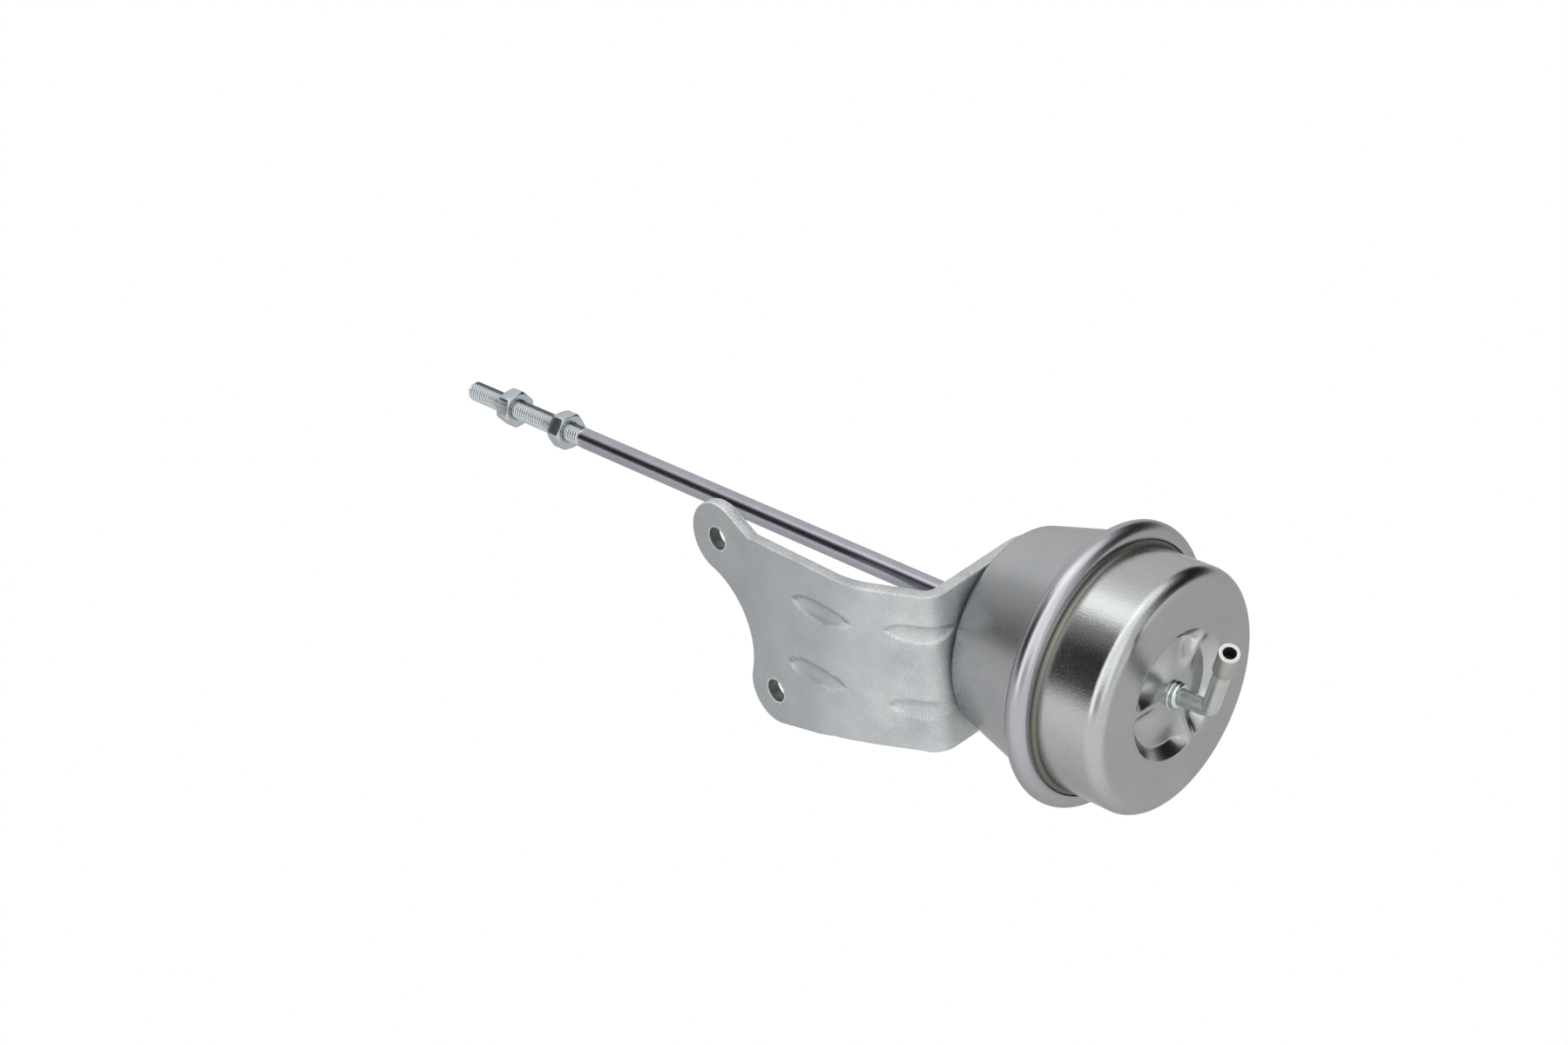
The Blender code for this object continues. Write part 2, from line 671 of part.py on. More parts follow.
def blank_outline():
    """Outline of the flat blank, anticlockwise from the notch beside the upper ear."""
    half = STRAP_HALF_WIDTH
    upper = Vector(UPPER_HOLE)
    lower = Vector(LOWER_HOLE)
    waist = waist_centre()
    notch = (NOTCH, half)
    made = [notch, (0.0, half)]
    made += arc_points((0.0, 0.0), BASE_END_R, 90.0, 270.0)[1:-1]
    made.append((0.0, -half))
    made += [(s, -half + relief(s)) for s in relief_points()]
    made.append((FLARE_START, -half))
    to_waist = math.degrees(math.atan2(waist.y - lower.y, waist.x - lower.x))
    start = tangent_angle((FLARE_START, -half), lower, LOWER_EAR_R, 1.0)
    made += arc_points(lower, LOWER_EAR_R, start, to_waist if to_waist > start else to_waist + 360.0)
    first = math.degrees(math.atan2(lower.y - waist.y, lower.x - waist.x)) % 360.0
    last = math.degrees(math.atan2(upper.y - waist.y, upper.x - waist.x)) % 360.0
    made += arc_points(waist, WAIST_R, first, last)[1:]
    begin = math.degrees(math.atan2(waist.y - upper.y, waist.x - upper.x))
    end = tangent_angle(notch, upper, UPPER_EAR_R, -1.0)
    made += arc_points(upper, UPPER_EAR_R, begin, end % 360.0)[1:]
    return made


def make_blank():
    """The flat blank as a closed plate, with its bolt holes and the hole for the guide bush."""
    data = bpy.data.curves.new("mounting_bracket", "CURVE")
    data.dimensions = "2D"
    data.fill_mode = "BOTH"
    data.extrude = PLATE / 2.0
    loops = [blank_outline()]
    for centre, radius in ((UPPER_HOLE, BOLT_HOLE_R), (LOWER_HOLE, BOLT_HOLE_R)):
        loops.append(arc_points(centre, radius, 0.0, 360.0)[:-1])
    loops.append(arc_points((0.0, 0.0), CAN_HOLE_R, 0.0, 360.0)[:-1])
    for loop in loops:
        spline = data.splines.new("POLY")
        spline.use_cyclic_u = True
        spline.points.add(len(loop) - 1)
        for k, point in enumerate(loop):
            spline.points[k].co = (point[0], point[1], 0.0, 1.0)
    return mesh_from_curve(add_object("mounting_bracket", data, PARTS))


def add_rib(place, size, height):
    """An ellipsoid lying along the strap near one face of the blank."""
    bpy.ops.mesh.primitive_uv_sphere_add(segments=16, ring_count=10, radius=1.0)
    made = bpy.context.active_object
    made.name = "rib"
    for collection in list(made.users_collection):
        collection.objects.unlink(made)
    CUTTERS.objects.link(made)
    made.data.transform(Matrix.Rotation(math.pi / 2.0, 4, "Y"))
    made.data.transform(Matrix.Diagonal((size[0], size[1], RIB_DEPTH, 1.0)))
    made.location = (place[0], place[1], height)
    bpy.context.view_layer.update()
    return made


def bend(work, start, skew, outer_radius, angle):
    """Fold everything beyond a line of the blank round a cylinder, towards +Z of the blank."""
    turn = math.radians(angle)
    along = Vector((-math.sin(math.radians(skew)), math.cos(math.radians(skew))))
    across = Vector((along.y, -along.x))
    radius = outer_radius - PLATE / 2.0
    length = radius * turn
    origin = Vector((start, 0.0))
    for k in range(BEND_STEPS + 1):
        line = origin + across * (length * k / BEND_STEPS)
        bmesh.ops.bisect_plane(
            work,
            geom=work.verts[:] + work.edges[:] + work.faces[:],
            plane_co=(line.x, line.y, 0.0),
            plane_no=(across.x, across.y, 0.0),
            dist=0.0000001,
        )
    return origin, along, across, radius, turn


def fold(work, line):
    origin, along, across, radius, turn = line
    for vertex in work.verts:
        flat = Vector((vertex.co.x, vertex.co.y)) - origin
        beyond = flat.dot(across)
        if beyond <= 0.0:
            continue
        angle = min(beyond / radius, turn)
        rest = max(beyond - radius * turn, 0.0)
        own = radius - vertex.co.z
        reach = own * math.sin(angle) + rest * math.cos(angle)
        rise = radius - own * math.cos(angle) + rest * math.sin(angle)
        place = origin + across * reach + along * flat.dot(along)
        vertex.co = (place.x, place.y, rise)


def make_bracket():
    """Press the ribs into the blank, then fold it: the far bend first, the near one last."""
    made = make_blank()
    ribs = [(place, NEAR_RIB) for place in NEAR_RIB_PLACES]
    ribs += [(place, FAR_RIB) for place in FAR_RIB_PLACES]
    for place, size in ribs:
        boolean(made, add_rib(place, size, PLATE / 2.0 - RIB_SINK), "UNION")
    for place, size in ribs:
        boolean(made, add_rib(place, size, -PLATE / 2.0 - RIB_SINK), "DIFFERENCE")
    work = bmesh.new()
    work.from_mesh(made.data)
    near = bend(work, BEND_1_START, 0.0, BEND_1_OUTER_R, BEND_1_ANGLE)
    far = bend(work, BEND_2_START, BEND_2_SKEW, BEND_2_OUTER_R, BEND_2_ANGLE)
    fold(work, far)
    fold(work, near)
    bmesh.ops.triangulate(work, faces=work.faces[:])
    work.to_mesh(made.data)
    work.free()
    made.data.transform(BLANK_TO_CAN)
    shade_round(made)
    return made


# The blank's own X runs down -Y, its Y up Z, and its +Z, the inside of the bends, along -X
BLANK_TO_CAN = Matrix((
    (0.0, 0.0, -1.0, BRACKET_FACE_X - PLATE / 2.0),
    (-1.0, 0.0, 0.0, 0.0),
    (0.0, 1.0, 0.0, 0.0),
    (0.0, 0.0, 0.0, 1.0),
))


def folded_point(along, across, height):
    """Where a point of the blank ends up in the can frame."""
    work = bmesh.new()
    vertex = work.verts.new((along, across, height))
    near = bend(work, BEND_1_START, 0.0, BEND_1_OUTER_R, BEND_1_ANGLE)
    far = bend(work, BEND_2_START, BEND_2_SKEW, BEND_2_OUTER_R, BEND_2_ANGLE)
    fold(work, far)
    fold(work, near)
    place = BLANK_TO_CAN @ vertex.co
    work.free()
    return place


def main():
    bracket_steel = new_material("bracket_steel", (0.62, 0.63, 0.63), 0.55, 0.85)
    can_zinc = new_material("can_zinc", (0.60, 0.61, 0.62), 0.30, 1.0)
    cap_zinc = new_material("cap_zinc", (0.64, 0.65, 0.66), 0.24, 1.0)
    rod_zinc = new_material("rod_zinc", (0.55, 0.55, 0.60), 0.25, 1.0)
    nut_zinc = new_material("nut_zinc", (0.58, 0.62, 0.66), 0.28, 1.0)
    nipple_steel = new_material("nipple_steel", (0.62, 0.65, 0.60), 0.20, 1.0)
    sleeve_steel = new_material("sleeve_steel", (0.66, 0.64, 0.60), 0.42, 1.0)
    rubber = new_material("black_rubber", (0.02, 0.02, 0.02), 0.75, 0.0)
    bronze = new_material("sintered_bronze", (0.45, 0.31, 0.15), 0.45, 1.0)
    spring_steel = new_material("spring_steel", (0.32, 0.32, 0.33), 0.35, 1.0)

    frame = add_empty("can_frame", -folded_point(BOLTING_POINT[0], BOLTING_POINT[1], -PLATE / 2.0))
    rod_axis = add_empty("rod_slide", (0.0, 0.0, 0.0), frame)

    finish(make_lower_can(), can_zinc, frame)
    finish(make_upper_can(), cap_zinc, frame)
    finish(make_bracket(), bracket_steel, frame)
    finish(make_collar(), nipple_steel, frame)
    finish(make_nipple_tube(), nipple_steel, frame)
    finish(make_nipple_sleeve(), sleeve_steel, frame)
    finish(make_diaphragm(), rubber, frame)
    finish(make_spring(), spring_steel, frame)

    bush_bottom = BRACKET_BACK_X - BUSH_REACH
    flange_r = BUSH_R + BUSH_FLANGE
    flange_top = SEAT_BOTTOM_X + BUSH_FLANGE_HEIGHT
    bush = turned("guide_bush", [
        (BUSH_BORE_R, flange_top),
        (flange_r, flange_top),
        (flange_r, SEAT_BOTTOM_X),
        (BUSH_R, SEAT_BOTTOM_X),
        (BUSH_R, bush_bottom),
        (BUSH_BORE_R, bush_bottom),
    ], SMALL_ROUND)
    finish(bush, bronze, frame)
    ring_bore = BUSH_R + GAP
    ring_top = BRACKET_BACK_X - GAP
    retainer = ring("bush_retainer", ring_bore, CAN_HOLE_R + RING_WIDTH, ring_top - RING_HEIGHT, RING_HEIGHT)
    finish(retainer, spring_steel, frame)
    seal_bottom = bush_bottom - GAP - SEAL_HEIGHT
    seal = ring("rod_seal", BUSH_BORE_R, BUSH_BORE_R + SEAL_WIDTH, seal_bottom, SEAL_HEIGHT, edge=SEAL_EDGE)
    finish(seal, rubber, frame)
    seat = ring("spring_seat", flange_r + GAP, SEAT_R, SEAT_BOTTOM_X, SEAT_HEIGHT)
    finish(seat, can_zinc, frame)

    finish(make_rod(), rod_zinc, rod_axis)
    finish(make_piston_cup(), can_zinc, rod_axis)
    finish(make_clamp_plate(), can_zinc, rod_axis)
    bore = SPIGOT_NECK_R + GAP
    washer = ring("shoulder_washer", bore, WASHER_R, SHOULDER_TOP_X + GAP, WASHER_HEIGHT)
    finish(washer, spring_steel, rod_axis)
    finish(make_nut("adjuster_nut", ROD_TIP_X + ADJUSTER_PLACE, ADJUSTER_TURN), nut_zinc, rod_axis)
    finish(make_nut("lock_nut", ROD_TIP_X + LOCK_NUT_PLACE, LOCK_NUT_TURN), nut_zinc, rod_axis)


main()
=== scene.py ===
"""Looks of the wastegate actuator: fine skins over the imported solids, metal finishes, studio and camera."""

import math

import bmesh
import bpy
from mathutils import Matrix, Vector


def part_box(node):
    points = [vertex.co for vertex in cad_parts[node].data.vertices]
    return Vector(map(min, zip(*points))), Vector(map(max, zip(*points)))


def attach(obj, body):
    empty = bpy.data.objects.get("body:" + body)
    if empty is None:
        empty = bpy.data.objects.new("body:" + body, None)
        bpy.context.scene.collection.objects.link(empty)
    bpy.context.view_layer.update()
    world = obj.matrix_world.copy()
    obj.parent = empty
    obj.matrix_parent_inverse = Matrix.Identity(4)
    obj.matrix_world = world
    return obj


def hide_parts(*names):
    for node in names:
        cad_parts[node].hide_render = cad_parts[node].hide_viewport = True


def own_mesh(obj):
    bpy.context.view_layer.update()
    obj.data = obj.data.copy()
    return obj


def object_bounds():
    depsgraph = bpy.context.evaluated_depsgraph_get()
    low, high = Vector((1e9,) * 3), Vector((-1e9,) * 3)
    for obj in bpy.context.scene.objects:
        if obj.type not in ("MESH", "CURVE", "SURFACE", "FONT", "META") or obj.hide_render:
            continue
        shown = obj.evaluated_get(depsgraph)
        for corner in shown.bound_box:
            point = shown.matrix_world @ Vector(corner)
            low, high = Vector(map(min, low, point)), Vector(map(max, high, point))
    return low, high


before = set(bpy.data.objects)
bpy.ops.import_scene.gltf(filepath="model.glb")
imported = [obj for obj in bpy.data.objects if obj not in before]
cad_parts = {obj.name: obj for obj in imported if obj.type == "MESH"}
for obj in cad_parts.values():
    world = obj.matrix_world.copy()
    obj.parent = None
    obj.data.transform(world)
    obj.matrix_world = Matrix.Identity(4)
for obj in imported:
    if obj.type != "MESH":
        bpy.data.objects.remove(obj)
cad_low, cad_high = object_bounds()

# Lengths are in metres and angles in degrees. Turned pieces are drawn round the X axis, which is the
# rod's, with the middle of the crimped joint at its origin.
ROD_AXIS = Vector((1.0, 0.0, 0.0))
GAP = 0.0003                    # clearance between pieces that the real product presses together
WELD = 0.000002                 # points nearer to each other than this are one
FLAT_ANGLE = 0.0005             # faces that turn by less than this, in radians, are one
FACETS = 256
CAP_FACETS = 400                # the cap's recesses need more
SMALL_FACETS = 96
ROD_FACETS = 48

# Crimped joint and lower can
BEAD_R = 0.00307
BEAD_RING_R = 0.03347           # from the rod's axis to the middle of the rolled bead
BEAD_LIP_ANGLE = 110.0          # where the rolled edge ends
BEAD_LIP_EASE = ((0.0, 0.00030), (1.5, 0.00010), (4.0, 0.00002))   # (angle back from the end, sunk by)
BEAD_LIP_LENGTH = 7.0           # angle back from the end to where the bead is truly round
BEAD_INNER_START = -112.0
BEAD_INNER_DROP = 1.05          # where the wall meets the bead inside, in the bead's inner radii
CAN_WALL = 0.0012
CAN_DEPTH = 0.0275
CAN_TAPER = 0.262               # how much the radius grows over a length
CAN_CORNER_R = 0.003
CAN_GROOVE_R = 0.0010           # hollow fillet between the bead and the taper
CAN_HOLE_R = 0.0065
CAN_END_RING_R = 0.0200         # a ring of points that splits the flat end
CAN_TAPER_RINGS = 12

# Cap
CAP_WALL = 0.0010
CAP_R = 0.03125
CAP_HEIGHT = 0.0207
CAP_CORNER_R = 0.0036
FLANGE_R = 0.0345
FLANGE_GAP = 0.0002
FLANGE_EDGE_R = 0.0003
FLANGE_EASE = 0.4               # how far the flange's inner corner is cut, in walls
NIPPLE_HOLE_R = 0.0024
RECESS_R = 0.0168
RECESS_WALL = 0.0028
RECESS_DEPTH = 0.0028
RECESS_ROUNDING = 0.00025
HUB_R = 0.0045
HUB_DEPTH = 0.0009
LOBE_COUNT = 3
LOBE_ANGLE = 109.0
RIDGE_HALF_WIDTH = 0.0006
RIDGE_FLANK = 0.0042
FACE_ZONE = 1.5                 # how deep the pressing reaches into the cap's profile, in walls
ROOT_LEDGE = 0.00272            # height of the seam's ledge, where the cap's wall rises
ROOT_R = 0.0010
ROOT_TILT = 84.0
ROOT_EDGE_R = 0.0002
ROOT_FOOT = 0.0003

# Hose nipple
TUBE_R = 0.0021
TUBE_BORE_R = 0.0015
TUBE_RISE = 0.0089
TUBE_KNEE = Vector((CAP_HEIGHT + TUBE_RISE, 0.0, 0.0))     # where the lines of both straight runs meet
TUBE_BEND_R = 0.0036
TUBE_BEND_STEPS = 22
TUBE_INSIDE = 0.0002            # how far the tube reaches into the cap
TUBE_LEG = 0.0282
TUBE_LEG_DIR = Vector((0.386, -0.285, 0.878)).normalized()
SPIGOT_R = 0.0018
SPIGOT_LENGTH = 0.0040
SLEEVE_R = 0.00258
SLEEVE_LENGTH = 0.0086
SLEEVE_BORE_EDGE_R = 0.00022
SLEEVE_RIM_EDGE_R = 0.00020
SLEEVE_FOOT_EDGE_R = 0.00025
COLLAR_R = 0.0033
COLLAR_HEIGHT = 0.0019
COLLAR_EDGE = 0.0009
COLLAR_BORE_EDGE = 0.00005
COLLAR_CLEARANCE = GAP * 0.2
COLLAR_LIFT = 0.00003           # clear of the cap's hub by this
COLLAR_FOOT_R = 0.0036
COLLAR_FOOT_HEIGHT = 0.0005
COLLAR_FOOT_STEPS = 12

# Mounting bracket: places are on the flat blank, along it and across it from the rod's axis
PLATE = 0.0035
STRAP_HALF_WIDTH = 0.0230
BEND_1_START = 0.0249
BEND_1_OUTER_R = 0.0065
BEND_1_ANGLE = 68.2
BEND_2_START = 0.0470
BEND_2_OUTER_R = 0.0250
BEND_2_ANGLE = 25.7
BEND_2_SKEW = 9.7
BOLT_HOLE_R = 0.0034
PLATED_HOLE_R = BOLT_HOLE_R - 0.00035    # the plated hole is drawn in from the drilled one
BORE_CRISPNESS = 0.25
BORE_ZONE = 1.01                # how far round a hole the edge is made crisp, in edge roundings
UPPER_HOLE = Vector((0.0951, 0.0184))
LOWER_HOLE = Vector((0.0751, -0.0180))
UPPER_EAR_R = 0.0098
LOWER_EAR_R = 0.0094
WAIST_R = 0.0200
NOTCH = 0.0830
FLARE_START = 0.0545
RELIEF = (0.0160, 0.0460)
RELIEF_DEPTH = 0.0005
RELIEF_STEPS = 24
EDGE_ROUNDING = 0.00055
RIB_DEPTH = 0.0009
RIB_SOFTNESS = 0.08
RIB_REACH = 1.06                # a rib's edge is at 1, and its crease ends here
NEAR_RIB = (0.0082, 0.0026)     # half length and half width
FAR_RIB = (0.0095, 0.0029)
NEAR_RIB_PLACES = ((0.0313, 0.0120), (0.0314, -0.0099))
FAR_RIB_PLACES = ((0.0577, 0.0119), (0.0601, -0.0068))
GRID_STEP = 0.0008
GRID_SPANS = ((0, -0.023, 0.105), (1, -0.0275, 0.0285))    # (axis, from, to)
RIB_SPANS = ((0, 0.0222, 0.0406), (0, 0.0470, 0.0710), (1, -0.0135, -0.0030), (1, 0.0085, 0.0155))

# Painted light, painted shade and wear on the bracket's plating: above 0 a painted highlight makes it
# lighter, below 0 painted shade or the sheared side's dullness makes it darker
# painted highlight along the plate's rounded edges
EDGE_HIGHLIGHT = 0.75
SIDE_DULL = 0.45                # taken off the sheared side, between its rounded edges
SIDE_END = 0.7                  # the side's dullness ends this far below the face, in edge roundings
LIGHT_END = 0.3                 # the edge's painted highlight fades from this far below the face up to it
EAR_LIGHT_AND_WEAR = 2.2                  # round the upper ear the painted highlight and the dullness are both stronger
NEAR_BEND_LIGHT = 0.30                # painted light: how much lighter the outer face is towards the near bend
NEAR_BEND_LIGHT_SPAN = (0.0310, 0.0560)
FAR_END_SHADE = 0.16                     # painted shade: how much darker it is towards and round the bolt holes
FAR_END_SHADE_SPAN = (0.0600, 0.0860)
# painted shade inside the bolt holes, and a painted highlight on their rims
BORE_SHADE = -0.8
BORE_RIM_HIGHLIGHT = 0.6
BORE_RIM_WIDTH = 0.0001
CREASE_HIGHLIGHT = 0.55             # painted highlight on a rib's crease on its lower side
CREASE_SHADE = -0.45             # and painted shade on its upper side
CREASE_START = (0.74, 0.92)
CREASE_END = (0.98, RIB_REACH)

# Rod and nuts
ROD_R = 0.0030
ROD_TIP_X = -0.2420
ROD_TIP_R = 0.00215
ROD_TIP_CHAMFER = 0.9           # growth of the tip's radius for each metre along the rod
THREAD_LENGTH = 0.0520
THREAD_END_X = ROD_TIP_X + THREAD_LENGTH
THREAD_PITCH = 0.0010
THREAD_CREST_R = 0.00298
THREAD_ROOT_R = 0.00243
THREAD_FLANK = (0.12, 0.86)     # from the root's middle, at 0, to the crest's, at 1
THREAD_STEPS = 12               # on each turn
THREAD_RUN_OUT = 1.6            # turns over which it fades into the shank
SHANK_START = 0.0004            # from the thread's end to the plain shank
SHANK_RINGS = 40
SHOULDER_R = 0.0050
SHOULDER_HEIGHT = 0.0020
SHOULDER_CONE = 0.0040
STUD_R = 0.0025                 # the thin end that holds washer, cup and plate
RIVET_R = 0.0044
RIVET_TOP_R = 0.0031
RIVET_HEIGHT = 0.0012
RIVET_EDGE = 0.0006
NUT_FLATS = 0.0100
NUT_HEIGHT = 0.0050
NUT_CORNER = math.radians(30.0)          # from the middle of a flat to a corner
NUT_CHAMFER = math.radians(30.0)
NUT_CORNER_CUT = 0.00015
NUT_FACE_INSET = 0.00018
NUT_BORE_INSET = 0.0003
NUT_SINK = 0.00045
NUT_EDGE = 0.00009
NUT_SHARP = 24.0                # edges that turn by more than this are shaded sharp
NUT_BEVELLED = math.radians(22.0)        # and by more than this are bevelled
ADJUSTER_PLACE = 0.0431
ADJUSTER_TURN = 52.0
LOCK_NUT_PLACE = 0.0194
LOCK_NUT_TURN = 7.0

can_low, can_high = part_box("lower_can")
CRIMP = Vector((can_low.x + CAN_DEPTH, (can_low.y + can_high.y) / 2.0, (can_low.z + can_high.z) / 2.0))


def smooth_step(value, low, high):
    """0 below low, 1 above high and a smooth rise between them."""
    t = min(max((value - low) / (high - low), 0.0), 1.0)
    return t * t * (3.0 - 2.0 * t)


def soft_ramp(distance, length, rounding):
    """Rises from 0 to 1 over a length, straight in the middle and rounded at both ends."""
    t = distance / length
    r = rounding / length
    if t <= -r:
        return 0.0
    if t < r:
        return (t + r) ** 2 / (4.0 * r)
    if t <= 1.0 - r:
        return t
    if t < 1.0 + r:
        return 1.0 - (1.0 + r - t) ** 2 / (4.0 * r)
    return 1.0


def spaced(start, end, steps):
    """Evenly spaced values from start to end, both included."""
    return [start + (end - start) * k / steps for k in range(steps + 1)]


def on_circle(centre, radius, degrees):
    """The point of a circle at an angle."""
    angle = math.radians(degrees)
    return (centre[0] + radius * math.cos(angle), centre[1] + radius * math.sin(angle))


def arc(centre, radius, start, end, steps):
    """Points on an arc."""
    return [on_circle(centre, radius, degrees) for degrees in spaced(start, end, steps)]


def rounded(corners, steps):
    """A closed outline of (radius, x, fillet) corners with each corner turned into an arc."""
    made = []
    count = len(corners)
    for k, (radius, x, fillet) in enumerate(corners):
        here = Vector((radius, x))
        if fillet <= 0.0:
            made.append((radius, x))
            continue
        before = (Vector(corners[k - 1][:2]) - here).normalized()
        after = (Vector(corners[(k + 1) % count][:2]) - here).normalized()
        half = before.angle(after) / 2.0
        middle = here + (before + after).normalized() * (fillet / math.sin(half))
        first = here + before * (fillet / math.tan(half)) - middle
        last = here + after * (fillet / math.tan(half)) - middle
        start = math.atan2(first.y, first.x)
        turn = (math.atan2(last.y, last.x) - start + math.pi) % (2.0 * math.pi) - math.pi
        for j in range(steps + 1):
            angle = start + turn * j / steps
            made.append((middle.x + fillet * math.cos(angle), middle.y + fillet * math.sin(angle)))
    return made


def full_turn(facets):
    """The angles of a circle's points, in radians."""
    return [2.0 * math.pi * k / facets for k in range(facets)]


def circle(work, x, radius, facets):
    """A ring of points round the rod's axis."""
    return [work.verts.new((x, radius * math.cos(a), radius * math.sin(a))) for a in full_turn(facets)]


def bridge(work, rings):
    """Join each ring of points to the next one with faces."""
    for first, second in zip(rings, rings[1:]):
        for k in range(len(first)):
            after = (k + 1) % len(first)
            work.faces.new((first[k], first[after], second[after], second[k]))


def turned(profile, facets=FACETS):
    """Revolve a closed (radius, x) profile about the rod's axis."""
    work = bmesh.new()
    rings = [circle(work, x, radius, facets) for radius, x in profile]
    bridge(work, rings + rings[:1])
    bmesh.ops.recalc_face_normals(work, faces=work.faces)
    return work


def add_piece(name, work, finish, body, node, sharp=40.0, at=CRIMP):
    """Turn a bmesh into a shaded piece that stands for a node and rides on its body."""
    mesh = bpy.data.meshes.new(name)
    work.to_mesh(mesh)
    work.free()
    mesh.shade_smooth()
    mesh.set_sharp_from_angle(angle=math.radians(sharp))
    mesh.materials.append(finish)
    piece = bpy.data.objects.new(name, mesh)
    piece.location = at
    bpy.context.scene.collection.objects.link(piece)
    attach(piece, body)
    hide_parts(node)
    return piece


def can_radius(x):
    """Radius of the tapered can's outside at a place on the rod's axis."""
    return BEAD_RING_R + CAN_TAPER * x


def lower_can_skin():
    """The tapered can: from the bead's lip down the outside, through the hole and back up inside."""
    bead = (BEAD_RING_R, 0.0)
    slope = math.atan(CAN_TAPER)
    wall = CAN_WALL / math.cos(slope)
    tilt = math.degrees(slope)
    reach = BEAD_R + CAN_GROOVE_R
    bead_end = -90.0 - tilt + math.degrees(math.asin(CAN_GROOVE_R / reach))
    groove = on_circle(bead, reach, bead_end)
    outer = [on_circle(bead, BEAD_R - sunk, BEAD_LIP_ANGLE - back) for back, sunk in BEAD_LIP_EASE]
    outer += arc(bead, BEAD_R, BEAD_LIP_ANGLE - BEAD_LIP_LENGTH, bead_end, steps=44)
    outer += arc(groove, CAN_GROOVE_R, bead_end + 180.0, 180.0 - tilt, steps=8)[1:]
    tangent = CAN_CORNER_R * math.tan((math.pi / 2.0 - slope) / 2.0)
    corner = (can_radius(-CAN_DEPTH) - tangent, -CAN_DEPTH + CAN_CORNER_R)
    first = Vector(outer[-1])
    last = Vector(on_circle(corner, CAN_CORNER_R, -tilt))
    outer += [tuple(first.lerp(last, k / CAN_TAPER_RINGS)) for k in range(1, CAN_TAPER_RINGS)]
    outer += arc(corner, CAN_CORNER_R, -tilt, -90.0, steps=12)
    outer += [(CAN_END_RING_R, -CAN_DEPTH), (CAN_HOLE_R, -CAN_DEPTH)]
    inner = [(CAN_HOLE_R, -CAN_DEPTH + CAN_WALL)]
    inner += arc(corner, CAN_CORNER_R - CAN_WALL, -90.0, -tilt, steps=5)
    bead_inner_r = BEAD_R - CAN_WALL
    drop = -bead_inner_r * BEAD_INNER_DROP
    inner.append((can_radius(drop) - wall, drop))
    inner += arc(bead, bead_inner_r, BEAD_INNER_START, BEAD_LIP_ANGLE, steps=24)
    return turned(outer + inner)


def recess_depth(y, z):
    """How far the cap's face is pressed in at a point of it."""
    radius = math.hypot(y, z)
    wall = soft_ramp(RECESS_R - radius, RECESS_WALL, RECESS_ROUNDING)
    if wall <= 0.0:
        return 0.0
    floor_r = RECESS_R - RECESS_WALL
    floor = HUB_DEPTH + (RECESS_DEPTH - HUB_DEPTH) * smooth_step(radius, HUB_R, floor_r)
    lobe = floor * wall
    crest = HUB_DEPTH * min(max((RECESS_R - radius) / (RECESS_R - HUB_R), 0.0), 1.0)
    turn = math.degrees(math.atan2(z, y)) - LOBE_ANGLE
    off_ridge = (turn % (360.0 / LOBE_COUNT)) - 180.0 / LOBE_COUNT
    across = radius * abs(math.sin(math.radians(off_ridge)))
    fall = soft_ramp(across - RIDGE_HALF_WIDTH, RIDGE_FLANK, RECESS_ROUNDING)
    depth = crest + (lobe - crest) * (1.0 - (1.0 - fall) ** 2)
    return min(depth, lobe) if lobe < crest else depth


def cap_skin():
    """The cap: its face from the nipple's hole out, its wall down to the flange, and back inside."""
    top = CAP_HEIGHT
    inner_r = CAP_R - CAP_WALL
    corner = (CAP_R - CAP_CORNER_R, top - CAP_CORNER_R)
    flange_top = FLANGE_GAP + CAP_WALL
    flange_edge = (FLANGE_R - FLANGE_EDGE_R, flange_top - FLANGE_EDGE_R)
    ledge_r = CAP_R + ROOT_R
    recess_edge = RECESS_R + RECESS_ROUNDING
    radii = spaced(NIPPLE_HOLE_R, recess_edge, steps=64) + spaced(recess_edge, corner[0], steps=6)[1:-1]
    profile = [(radius, top) for radius in radii]
    profile += arc(corner, CAP_CORNER_R, 90.0, 0.0, steps=18)
    profile += arc((ledge_r, ROOT_LEDGE + ROOT_R), ROOT_R, 180.0, 180.0 + ROOT_TILT, steps=8)
    profile += arc((ledge_r, ROOT_LEDGE - ROOT_EDGE_R), ROOT_EDGE_R, ROOT_TILT, 0.0, steps=4)
    profile.append((ledge_r + ROOT_FOOT, flange_top))
    profile += arc(flange_edge, FLANGE_EDGE_R, 90.0, 0.0, steps=4)
    profile.append((FLANGE_R, FLANGE_GAP))
    profile.append((inner_r + CAP_WALL * FLANGE_EASE, FLANGE_GAP))
    profile.append((inner_r, flange_top))
    profile += arc(corner, CAP_CORNER_R - CAP_WALL, 0.0, 90.0, steps=10)
    back = spaced(NIPPLE_HOLE_R, RECESS_R, steps=20)
    profile += [(radius, top - CAP_WALL) for radius in reversed(back)]
    work = turned(profile, CAP_FACETS)
    for vertex in work.verts:
        if vertex.co.x > top - CAP_WALL * FACE_ZONE:
            vertex.co.x -= recess_depth(vertex.co.y, vertex.co.z)
    return work


def swept(route, rings):
    """A tube of circles along a route; each ring is (place on the route, radius), closed end to end."""
    work = bmesh.new()
    frames = []
    side = Vector((0.0, 0.0, 1.0))
    for k, point in enumerate(route):
        along = (route[min(k + 1, len(route) - 1)] - route[max(k - 1, 0)]).normalized()
        side = (side - along * side.dot(along)).normalized()
        frames.append((point, side.copy(), along.cross(side)))
    made = []
    for place, radius in rings:
        point, first, second = frames[place]
        outward = [first * math.cos(a) + second * math.sin(a) for a in full_turn(SMALL_FACETS)]
        made.append([work.verts.new(point + out * radius) for out in outward])
    bridge(work, made + made[:1])
    bmesh.ops.recalc_face_normals(work, faces=work.faces)
    return work


